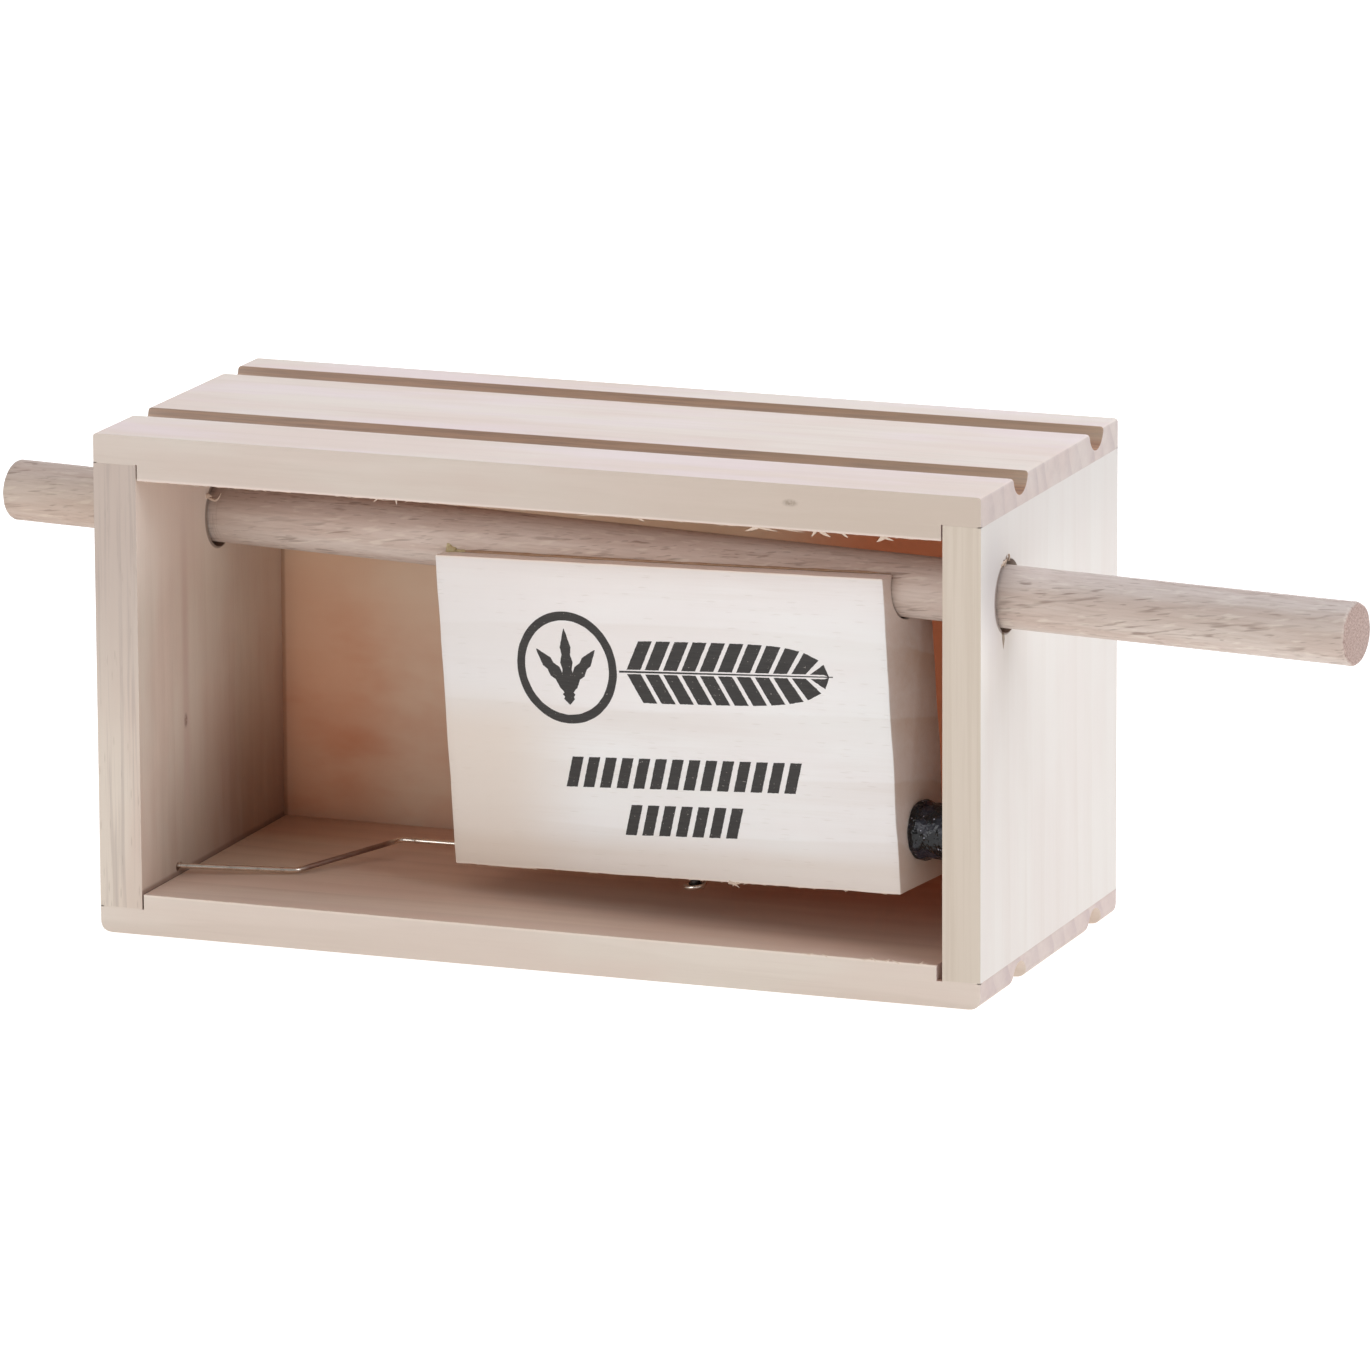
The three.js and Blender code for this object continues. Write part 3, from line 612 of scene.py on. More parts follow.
# ---- Glue, ink, rubber and steel ----


def glue_and_shadow_material(name, light, dark, clear):
    """Dried glue, cloudy and slightly see-through, and the same cloudy brown for the strip that paints the
    seam's shadow.
    """
    n = Nodes(name)
    cloud = n.noise(n.position(), 3.0, scale=0.9)
    colour = n.mix(cloud, light, dark)
    return n.finish(colour, n.slope(cloud, 0.3, 0.45), n.bump(cloud, 0.4, 0.15), clear=clear)


def ink_material():
    """Pad-printed black ink, thin enough for specks of wood to show."""
    n = Nodes("print_ink")
    point = n.position()
    pits = n.noise(n.scaled(point, 2.3), 3.0, 0.7)
    grain = n.noise(n.stretch(point, (0.3, 1.0, 4.5)), 3.0)
    bare = n.step(n.plus(n.times(pits, 0.75), n.times(grain, 0.25)), 0.62, 0.72)
    colour = n.stain(n.mix(grain, (52, 49, 47), (74, 71, 68)), (200, 190, 182), bare, 0.75)
    return n.finish(colour, n.slope(pits, 0.2, 0.5), n.bump(pits, 0.3, 0.03), 0.3)


def rubber_material():
    """Black dipped rubber: blue-grey patches painted in as soft reflections, glossy drips, and dust specks
    that partly stand in for painted glints.
    """
    n = Nodes("black_rubber")
    point = n.position()
    orange_peel = n.noise(n.scaled(point, 0.75), 2.0, 0.55)
    gloss_and_sheen_patch = n.noise(n.scaled(point, 0.34))
    specks, cell = n.cells(n.scaled(point, 1.1))
    # The blue-grey in the patches is a painted reflection.
    colour = n.mix(n.step(gloss_and_sheen_patch, 0.46, 0.6), (4, 4, 5), (34, 34, 45))
    chosen = n.step(n.part(cell, 2), 0.7, 0.76)
    # The pale specks are dust and partly painted glints.
    colour = n.stain(colour, (176, 178, 190), n.step(specks, 0.2, 0.08), chosen, 0.85)
    return n.finish(colour, n.step(gloss_and_sheen_patch, 0.4, 0.6, 0.1, 0.34), n.bump(orange_peel, 0.7, 0.7))


def metal_material(name, bright, dull, base_roughness, tarnish, painted_reflection=None):
    """Steel: fine marks, brown patches, and a stretch of X painted reddish brown as a reflection of the
    brown floor.
    """
    n = Nodes(name)
    point = n.position()
    marks = n.noise(n.scaled(point, 9.0), 3.0, 0.7)
    patches = n.noise(n.scaled(point, 0.7), 3.0, 0.6)
    colour = n.mix(marks, bright, dull)
    colour = n.stain(colour, (112, 92, 76), n.step(patches, 0.48, 0.7), tarnish)
    roughness = n.slope(marks, 0.2, base_roughness)
    if painted_reflection:
        # A painted reflection of the brown floor darkens this stretch of wire.
        x = n.part(point, 0)
        stretch = n.times(n.step(x, painted_reflection[0], painted_reflection[0] + 1.5), n.step(x, painted_reflection[1], painted_reflection[1] - 1.5))
        colour = n.stain(colour, (122, 84, 72), stretch, 0.8)
        roughness = n.slope(stretch, 0.25, roughness)
    return n.finish(colour, roughness, n.bump(marks, 0.25, 0.02), metallic=1.0)


beech = beech_material()
torn_fibres = splinter_material()
glue = glue_and_shadow_material("dried_glue", (222, 212, 170), (200, 184, 134), 0.2)
# A brown strip material painted as the shadow in the seam between rod and land.
painted_seam_shadow = glue_and_shadow_material("painted_seam_shadow", (190, 160, 132), (156, 124, 98), 0.0)
ink = ink_material()
rubber = rubber_material()
black_steel = metal_material("black_steel", (88, 84, 80), (44, 42, 40), 0.28, 0.25)
# The wire between the two folds carries a painted reflection of the brown floor.
WIRE_PAINTED_REFLECTION = (joints["spring_arm_fold"]["pos_m"][0] / MM, joints["spring_elbow_fold"]["pos_m"][0] / MM)
music_wire = metal_material("music_wire", (250, 240, 228), (214, 202, 188), 0.13, 0.25, WIRE_PAINTED_REFLECTION)

# ---- Carried-over CAD parts ----


def dress(node, material, edge):
    """Gives a CAD part its material and eases its sawn edges."""
    part = frame["nodes"][node]
    for slot in part.material_slots:
        slot.material = material
    weld = part.modifiers.new("weld", "WELD")
    weld.merge_threshold = 1e-6
    flat = part.modifiers.new("flat", "DECIMATE")
    flat.decimate_type = "DISSOLVE"
    flat.angle_limit = math.radians(0.5)
    bevel = part.modifiers.new("edge", "BEVEL")
    bevel.width = edge * MM
    bevel.segments = 2
    bevel.limit_method = "ANGLE"
    bevel.angle_limit = math.radians(40)
    normals = part.modifiers.new("normals", "WEIGHTED_NORMAL")
    normals.keep_sharp = False


dress("top_plank", plank_top_wood, 0.13)
dress("bottom_plank", plank_bottom_wood, 0.13)
dress("left_end_panel", left_wall_wood, 0.05)
dress("right_end_panel", right_wall_wood, 0.05)
dress("sound_board", tone_board_wood, 0.12)
dress("sounding_peg", peg_wood, 0.25)

# ---- Mesh helpers ----

body_frames = {"rod": rod_frame, "striker": block_frame}


def add_object(name, data):
    added = bpy.data.objects.new(name, data)
    bpy.context.scene.collection.objects.link(added)
    return added


def new_piece(name, shape, material, sharp, body=None, replaces=(), place=None):
    """A mesh piece in the frame of its body, or at a place of its own.

    shape is its vertices in millimetres and its faces; edges sharper than sharp degrees stay crisp.
    """
    vertices, faces = shape
    place = place or body_frames.get(body)
    mesh = bpy.data.meshes.new(name)
    mesh.from_pydata([Vector(v) * MM for v in vertices], [], faces)
    shaped = bmesh.new()
    shaped.from_mesh(mesh)
    bmesh.ops.recalc_face_normals(shaped, faces=shaped.faces)
    shaped.to_mesh(mesh)
    shaped.free()
    mesh.shade_smooth()
    mesh.set_sharp_from_angle(angle=math.radians(sharp))
    mesh.materials.append(material)
    piece = add_object(name, mesh)
    if place:
        piece.matrix_world = place
    if replaces:
        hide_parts(*replaces)
    if body:
        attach(piece, body)
    return piece


def loft(rings):
    """Vertices and faces of a closed skin through rings of equal length, capped at both ends."""
    count = len(rings[0])
    vertices = [p for ring in rings for p in ring]
    faces = []
    for i in range(len(rings) - 1):
        for k in range(count):
            a = i * count + k
            b = i * count + (k + 1) % count
            faces.append((a, b, b + count, a + count))
    faces.append(tuple(reversed(range(count))))
    faces.append(tuple(range((len(rings) - 1) * count, len(rings) * count)))
    return vertices, faces


def gather(parts):
    """Joins several (vertices, faces) pairs into one."""
    vertices, faces = [], []
    for part_vertices, part_faces in parts:
        start = len(vertices)
        vertices.extend(part_vertices)
        faces.extend(tuple(i + start for i in face) for face in part_faces)
    return vertices, faces


def circle(sides):
    """The angles of evenly spaced points round a circle."""
    return [2 * math.pi * k / sides for k in range(sides)]


def turned(profile, sides, wobble=lambda x, angle: 0.0):
    """A lathe about X; profile points are (x, radius), and wobble is added to the radius."""
    rings = []
    for x, radius in profile:
        spokes = [(radius + wobble(x, angle), angle) for angle in circle(sides)]
        rings.append([(x, r * math.cos(angle), r * math.sin(angle)) for r, angle in spokes])
    return loft(rings)


def noise3(x, y, z):
    """Smooth noise at a point."""
    return noise.noise(Vector((x, y, z)))


# ---- Push rod ----


def push_rod():
    edge = 0.55
    span = rod_high.x - rod_low.x
    stations = 150
    eased = [(0.0, 0.6), (0.0, rod_radius - edge)]
    eased += [(edge * 0.35, rod_radius - edge * 0.3), (edge, rod_radius)]
    profile = [(rod_low.x + x, radius) for x, radius in eased]
    for i in range(1, stations):
        profile.append((rod_low.x + edge + (span - 2 * edge) * i / stations, rod_radius))
    profile += [(rod_high.x - x, radius) for x, radius in reversed(eased)]

    def wobble(x, angle):
        y, z = math.cos(angle), math.sin(angle)
        near_end = min(x - rod_low.x, rod_high.x - x) < edge
        rough = 0.09 if near_end else 0.0
        return 0.02 * noise3(x * 0.12, y * 2, z * 2) + rough * noise3(x, y * 3, z * 3) - 0.02

    shape = turned(profile, 72, wobble)
    new_piece("push_rod_dowel", shape, beech, 40, "rod", ["push_rod"])


push_rod()

# ---- Striker block ----

to_block = block_frame.inverted()
axis_point = to_block @ rod_centre / MM
axis_direction = to_block.to_3x3() @ rod_axis
COVE_CLEARANCE = 0.3


def cove_centre(x):
    """Where the rod's axis crosses a plane of constant x of the block."""
    return axis_point + axis_direction * ((x - axis_point.x) / axis_direction.x)


def block_section(x, inset, end_wander):
    """One cross-section of the block, front face first, going round anticlockwise from below."""
    half_y, half_z = block_half.y - inset, block_half.z - inset
    ease = 0.22 + 0.1 * noise3(x * 0.3, 1.0, 5.0)
    low_edge = -half_z + 0.1 * noise3(x * 0.16, 7.0, 0.0) + 0.05 * noise3(x * 0.9, 2.0, 0.0)
    top_edge = half_z - 0.05 + 0.05 * noise3(x * 0.2, 3.0, 0.0)
    centre = cove_centre(x)
    radius = rod_radius + COVE_CLEARANCE
    start = math.asin(min(top_edge - centre.z, radius * 0.97) / radius)
    bevel = ease * 0.3
    heights = [(top_edge - low_edge - 2 * ease) * k / 18 for k in range(19)]
    points = [(-half_y, low_edge + ease + height) for height in heights]
    points += [(-half_y + bevel, top_edge - bevel), (-half_y + ease, top_edge)]
    for k in range(25):
        angle = math.pi - start + (math.pi + 2 * start) * k / 24
        points.append((centre.y + radius * math.cos(angle), centre.z + radius * math.sin(angle)))
    points += [(half_y - ease, top_edge), (half_y - bevel, top_edge - bevel)]
    points += [(half_y, top_edge - ease - height) for height in heights]
    points.append((half_y - bevel, low_edge + bevel))
    points += [(half_y - ease - (2 * half_y - 2 * ease) * k / 6, low_edge) for k in range(7)]
    points.append((-half_y + bevel, low_edge + bevel))
    return [(x + end_wander * end_noise(x, z), y, z) for y, z in points]


def end_noise(x, z):
    side = math.copysign(10.0, x)
    return 0.16 * noise3(side, z * 0.13, 0.0) + 0.07 * noise3(side, z * 0.8, 4.0)


def striker_block():
    ease = 0.24
    end = block_half.x - 0.12
    stations = 56
    rings = [block_section(-end, ease * 0.8, 1.0), block_section(-end + ease * 0.3, ease * 0.25, 1.0)]
    for i in range(stations + 1):
        t = i / stations
        fade = max(0.0, 1.0 - min(t, 1 - t) * stations / 2)
        rings.append(block_section(-end + ease + (2 * end - 2 * ease) * t, 0.0, fade))
    rings += [block_section(end - ease * 0.3, ease * 0.25, 1.0), block_section(end, ease * 0.8, 1.0)]
    new_piece("striker_block_wood", loft(rings), block_wood, 30, "striker", ["striker_block"])


striker_block()

# ---- Generic print on the block: a bird track in a ring, a barred feather, two hatched bands ----

INK_RISE = 0.015
INK_SUNK = 0.04
PRINT_TURN = math.radians(1.7)


def rough_outline(points, gap=0.28, amount=0.05):
    """A closed outline with points added along it and nudged, as ink spreads on wood."""
    result = []
    for (x0, z0), (x1, z1) in zip(points, points[1:] + points[:1]):
        length = math.hypot(x1 - x0, z1 - z0)
        steps = max(1, round(length / gap))
        for k in range(steps):
            t = k / steps
            x, z = x0 + (x1 - x0) * t, z0 + (z1 - z0) * t
            dx = amount * noise3(x * 2.3, z * 2.3, 0.0)
            dz = amount * noise3(x * 2.3, z * 2.3, 9.0)
            result.append((x + dx, z + dz))
    return result


def turned_print(points):
    c, s = math.cos(PRINT_TURN), math.sin(PRINT_TURN)
    return [(x * c - z * s, x * s + z * c) for x, z in points]


def ink_plate(points, rise=INK_RISE):
    """A thin closed plate of ink, sunk a little into the block's front face."""
    face_y = -block_half.y
    outline = turned_print(points)
    front = [(x, face_y - rise, z) for x, z in outline]
    back = [(x, face_y + INK_SUNK, z) for x, z in outline]
    return loft([back, front])


def ink_ring(centre, outer, inner, sides=120):
    """A ring, drawn as one strip of quads front and back."""
    face_y = -block_half.y
    vertices, faces = [], []
    for depth in (face_y - INK_RISE, face_y + INK_SUNK):
        for radius in (outer, inner):
            ring = []
            for a in circle(sides):
                r = radius + 0.05 * noise3(math.cos(a) * radius, math.sin(a) * radius, radius)
                ring.append((centre[0] + r * math.cos(a), centre[1] + r * math.sin(a)))
            vertices += [(x, depth, z) for x, z in turned_print(ring)]
    front_outer, front_inner, back_outer, back_inner = (i * sides for i in range(4))
    around = (front_outer, front_inner, back_inner, back_outer, front_outer)
    for k in range(sides):
        j = (k + 1) % sides
        faces += [(a + k, a + j, b + j, b + k) for a, b in zip(around, around[1:])]
    return vertices, faces


def toe(base, angle, length, width):
    """One tapering toe with two swollen joints and a claw."""
    profile = [(0.0, 0.45), (0.12, 0.5), (0.3, 0.34), (0.42, 0.46), (0.56, 0.32), (0.68, 0.4)]
    profile += [(0.82, 0.24), (0.92, 0.13), (1.0, 0.02)]
    side_a, side_b = [], []
    c, s = math.cos(angle), math.sin(angle)
    for t, w in profile:
        x, z = base[0] + c * length * t, base[1] + s * length * t
        side_a.append((x - s * width * w, z + c * width * w))
        side_b.append((x + s * width * w, z - c * width * w))
    return rough_outline(side_a + side_b[::-1])


def feather_half(side):
    """Slanted bars of one vane of a barred feather; side is +1 above the shaft, -1 below."""
    start, end, half_height = -5.6, 28.6, 4.7
    bar, gap, lean, shaft = 2.35, 0.75, 2.4, 0.32

    def rim(x):
        t = min(max((x - start) / (end - start), 0.0), 1.0)
        return half_height * min(1.0, (t * 9 + 0.35) ** 0.5) * (1 - t**7) ** 0.5

    bars = []
    x = start
    while x < end - bar:
        right = min(x + bar + lean, end)
        left = min(x + lean, end - 0.4)
        corners = [(x, shaft), (x + bar, shaft), (right, rim(right)), (left, rim(x + lean))]
        bars.append([(px, side * pz) for px, pz in corners])
        x += bar + gap
    return bars


def hatch_band(left, right, height):
    """A row of slanted bars between two lengths."""
    bar, gap, lean = 1.9, 0.95, 1.5
    bars = []
    x = left
    while x + bar + lean <= right + 0.01:
        bars.append([(x, 0.0), (x + bar, 0.0), (x + bar + lean, height), (x + lean, height)])
        x += bar + gap
    return bars


def shifted_print(points, dx, dz):
    return [(x + dx, z + dz) for x, z in points]


def block_print():
    mark = (-16.1, 8.0)
    parts = [ink_ring(mark, 8.5, 7.15)]
    heel = (mark[0], mark[1] - 3.0)
    for i, (angle, length) in enumerate(((90, 8.9), (131, 7.6), (49, 7.6), (-90, 2.6))):
        rise = INK_RISE + 0.006 * i
        parts.append(ink_plate(toe(heel, math.radians(angle), length, 2.3), rise))
    for side in (1, -1):
        for bar in feather_half(side):
            parts.append(ink_plate(rough_outline(shifted_print(bar, -0.3, 7.6))))
    shaft = [(-7.2, 7.45), (28.9, 7.52), (28.9, 7.68), (-7.2, 7.75)]
    parts.append(ink_plate(rough_outline(shaft, amount=0.02)))
    for left, right, base in ((-18.0, 22.5, -10.1), (-8.6, 13.2, -17.2)):
        for bar in hatch_band(left, right, 4.6):
            parts.append(ink_plate(rough_outline(shifted_print(bar, 0.0, base))))
    new_piece("block_print", gather(parts), ink, 60, "striker")


block_print()

# ---- Bumper ----


def bumper():
    low, high = extents("bumper", block_frame)
    centre_y, centre_z = (low.y + high.y) / 2, (low.z + high.z) / 2
    face, tip = block_half.x - 0.02, high.x
    radius, collar = 4.2, (high.y - low.y) / 2
    profile = [(face - 1.5, 0.4), (face - 1.5, collar * 0.5), (face, collar * 0.97)]
    profile += [(face + 0.3, collar), (face + 0.75, collar + 0.04), (face + 1.15, collar - 0.06)]
    for past_face, swell in ((1.5, 0.1), (1.9, -0.03), (2.6, 0.0), (3.8, 0.02), (5.0, 0.0)):
        profile.append((face + past_face, radius + swell))
    for before_tip, thinner in ((1.0, 0.03), (0.55, 0.2), (0.22, 0.52), (0.04, 1.0), (0.0, 1.6)):
        profile.append((tip - before_tip, radius - thinner))
    profile.append((tip, 0.4))

    def wobble(x, angle):
        y, z = math.cos(angle), math.sin(angle)
        on_collar = max(0.0, 1.0 - abs(x - face - 0.6) / 1.0)
        ragged = 0.3 * noise3(y * 3.0, z * 3.0, 1.0) + 0.22 * noise3(y * 8.0, z * 8.0, 2.0)
        return on_collar * (ragged - 0.12) + 0.09 * noise3(x * 0.6, y * 1.8, z * 1.8) - 0.04

    vertices, faces = turned(profile, 96, wobble)
    shape = [(x, y + centre_y, z + centre_z) for x, y, z in vertices], faces
    new_piece("bumper_rubber", shape, rubber, 50, "striker", ["bumper"])


bumper()

# ---- Screw and washer ----

HEAD_TOP = 1.95
HEAD_HEIGHT = 0.45
HEAD_RADIUS = 1.0


def screw_parts():
    """Screw and washer turned about an axis that runs down from the block's underside."""
    for node, name in (("spring_screw", "spring_screw_steel"), ("screw_washer", "screw_washer_steel")):
        low, high = extents(node, block_frame)
        centre = Vector(((low.x + high.x) / 2, (low.y + high.y) / 2, 0.0))
        bottom, top, radius = -low.z, -high.z, (high.x - low.x) / 2
        if node == "spring_screw":
            under = block_half.z + HEAD_TOP
            profile = [(top + 0.8, 0.12), (top + 1.6, 0.72)]
            profile += [(under - 0.12, 0.75), (under - 0.1, HEAD_RADIUS * 0.93), (under, HEAD_RADIUS)]
            for k in range(1, 7):
                angle = math.radians(90) * k / 7
                rise, width = HEAD_HEIGHT * math.sin(angle), HEAD_RADIUS * math.cos(angle)
                profile.append((under + rise, max(width, 0.8)))
            profile += [(under + HEAD_HEIGHT, 0.7), (under + 0.2, 0.45), (under + 0.18, 0.1)]
        else:
            profile = [(top, 0.86), (top, radius - 0.12), (top + 0.12, radius)]
            profile += [(bottom - 0.12, radius), (bottom, radius - 0.12), (bottom, 0.86)]
        # The lathe's X runs down the screw: the turn about Y sends it along the block's -Z.
        place = block_frame @ Matrix.Translation(centre * MM) @ Matrix.Rotation(math.radians(90), 4, "Y")
        new_piece(name, turned(profile, 48), black_steel, 40, "striker", [node], place)


screw_parts()

# ---- Music-wire spring ----

WIRE_RADIUS = 0.4
BEND_RADIUS = 0.85
FIRST_BEND = Vector(joints["spring_arm_fold"]["pos_m"]) / MM
SECOND_BEND = Vector(joints["spring_elbow_fold"]["pos_m"]) / MM
TAIL_HINGE = Vector(joints["spring_tail_lift"]["pos_m"]) / MM
THIRD_BEND = Vector((5.5, 3.0, 9.7))
STUB = 3.2


def towards(start, goal, length):
    """The point this far from the start on the way to the goal."""
    return start + (goal - start).normalized() * length


def bent_path(points, bend_radius, step=0.3):
    """Points along straight lengths joined by rounded bends."""
    path = [points[0]]

    def straight(to):
        start = path[-1]
        count = max(1, round((to - start).length / 1.5))
        path.extend(start.lerp(to, (k + 1) / count) for k in range(count))

    for i in range(1, len(points) - 1):
        bend = points[i]
        before, after = towards(bend, points[i - 1], bend_radius), towards(bend, points[i + 1], bend_radius)
        straight(before)
        count = max(4, round(2 * bend_radius / step))
        for k in range(1, count + 1):
            t = k / count
            path.append(before * (1 - t) ** 2 + bend * 2 * t * (1 - t) + after * t**2)
    straight(points[-1])
    return path


def tube(path, radius, sides=14, tip=0.12):
    """A round wire along a path, with slightly rounded cut ends."""
    last = len(path) - 1
    tangents = [(path[min(i + 1, last)] - path[max(i - 1, 0)]).normalized() for i in range(last + 1)]
    rings = []
    side = tangents[0].orthogonal().normalized()
    for i, centre in enumerate(path):
        tangent = tangents[i]
        side = (side - tangent * side.dot(tangent)).normalized()
        other = tangent.cross(side)
        radii = [(0.0, radius)]
        if i == 0:
            radii = [(0.0, radius * 0.55), (tip * 0.4, radius * 0.88), (tip, radius)]
        elif i == last:
            radii = [(-tip, radius), (-tip * 0.4, radius * 0.88), (0.0, radius * 0.55)]
        for shift, r in radii:
            spokes = [side * math.cos(angle) * r + other * math.sin(angle) * r for angle in circle(sides)]
            rings.append([tuple(centre + tangent * shift + spoke) for spoke in spokes])
    return loft(rings)


def wire_piece(name, points, bend_radius, *nodes):
    wire = tube(bent_path(points, bend_radius), WIRE_RADIUS)
    return new_piece(name, wire, music_wire, 50, replaces=nodes)


def bend_between(piece, at, before, after, reach):
    """Bakes a wire piece's placement into its mesh; the short span either side of the point is worked out
    but not used.
    """
    tangent = ((after - at).normalized() + (at - before).normalized()).normalized()
    start, end = (at - tangent * reach) * MM, (at + tangent * reach) * MM
    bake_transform(piece)
    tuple(start)
    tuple(end)


def spring():
    """Three lengths of wire, cut at mid-arm and after the elbow, and the eye."""
    overlap = 0.25
    arm_middle = FIRST_BEND.lerp(SECOND_BEND, 0.5)
    hole_end = Vector((left_high.x - 4.6, WALL_POINT.y, WALL_POINT.z))
    points = [hole_end, WALL_POINT, FIRST_BEND, towards(arm_middle, SECOND_BEND, overlap)]
    leg = wire_piece("spring_wire_leg", points, BEND_RADIUS, "spring_leg")
    bend_between(leg, FIRST_BEND, WALL_POINT, SECOND_BEND, 1.3)

    elbow_end = towards(TAIL_HINGE, SECOND_BEND, 0.9)
    points = [towards(arm_middle, FIRST_BEND, overlap), SECOND_BEND, towards(elbow_end, TAIL_HINGE, 0.2)]
    arm = wire_piece("spring_wire_arm", points, BEND_RADIUS, "spring_arm", "spring_elbow")
    bend_between(arm, SECOND_BEND, FIRST_BEND, TAIL_HINGE, 1.3)

    stub_end = towards(THIRD_BEND, TAIL_HINGE, STUB)
    points = [elbow_end, TAIL_HINGE, towards(stub_end, THIRD_BEND, overlap)]
    tail = wire_piece("spring_wire_tail", points, 0.4, "spring_tail")
    bend_between(tail, TAIL_HINGE, SECOND_BEND, THIRD_BEND, 0.8)
    spring_eye(stub_end)


def spring_eye(stub_end):
    """The eye coiled round the screw, then the third bend, in the block's frame."""
    low, high = extents("spring_screw", block_frame)
    centre = Vector(((low.x + high.x) / 2, (low.y + high.y) / 2, -block_half.z))
    third = to_block @ (THIRD_BEND * MM) / MM
    stub = to_block @ (stub_end * MM) / MM
    radius, turns, pitch, first = 1.42, 0.97, 0.86, 1.98
    reach = third - centre
    leave = math.atan2(reach.y, reach.x) - math.acos(radius / math.hypot(reach.x, reach.y))
    steps = 64
    coil = []
    for k in range(steps + 1):
        left = turns * (1 - k / steps)
        angle = leave - 2 * math.pi * left
        spoke = (radius * math.cos(angle), radius * math.sin(angle), -first - pitch * left)
        coil.append(centre + Vector(spoke))
    path = coil[:-1] + bent_path([coil[-1], third, stub], BEND_RADIUS)
    wire = tube(path, WIRE_RADIUS)
    new_piece("spring_wire_eye", wire, music_wire, 50, "striker", ["spring_eye"])


spring()

# ---- Torn fibres, splinters, glue and a painted seam shadow ----


def sliver(base, tip, sag, width, thickness, segments=4):
    """A thin tapering fibre from base to tip, bowed by sag at its middle."""
    base, tip, sag = Vector(base), Vector(tip), Vector(sag)
    tangent = (tip - base).normalized()
    side = tangent.cross(Vector((0, 1, 0)))
    if side.length < 0.1:
        side = tangent.cross(Vector((0, 0, 1)))
    side.normalize()
    other = tangent.cross(side).normalized()
    rings = []
    for k in range(segments + 1):
        t = k / segments
        centre = base.lerp(tip, t) + sag * math.sin(math.pi * t)
        w = width * (1 - 0.92 * t)
        h = thickness * (1 - 0.85 * t)
        corners = ((-w, -h), (w, -h * 0.6), (w * 0.7, h), (-w * 0.8, h * 0.7))
        rings.append([tuple(centre + side * a / 2 + other * b / 2) for a, b in corners])
    return loft(rings)


def edge_fibres(x_from, x_to, y, z, down, density, longest, droop, seed):
    """Fuzz along a sawn edge: short fibres that lie nearly along it and stand off a little."""
    source = random.Random(seed)
    parts = []
    x = x_from
    while x < x_to:
        x += source.expovariate(density)
        length = longest * (0.25 + 0.75 * source.random() ** 2)
        if x + length > x_to:
            break
        heading = source.choice((-1, 1))
        base = Vector((x, y + 0.1, z - down * 0.08))
        drop = droop * (0.15 + source.random() ** 2)
        out = -0.12 * source.random()
        tip = base + Vector((heading * length, out, down * (drop + 0.08)))
        if not x_from < tip.x < x_to:
            continue
        thick = 0.1 + 0.1 * source.random()
        parts.append(sliver(base, tip, (0, 0, -down * 0.15 * drop), thick * 1.5, thick))
    return parts


CHIP_ROOT = 0.35


def chips(edge_z, *flakes, upward=False):
    """Small torn flakes along a front edge; each is given by X, length, height and width."""
    for x, length, height, width in flakes:
        drop = -CHIP_ROOT - height if upward else height
        base, tip = (x, FRONT_Y + 0.12, edge_z + 0.15), (x + length, FRONT_Y - 0.03, edge_z - drop)
        yield sliver(base, tip, (0, 0, -0.08), width, 0.22)


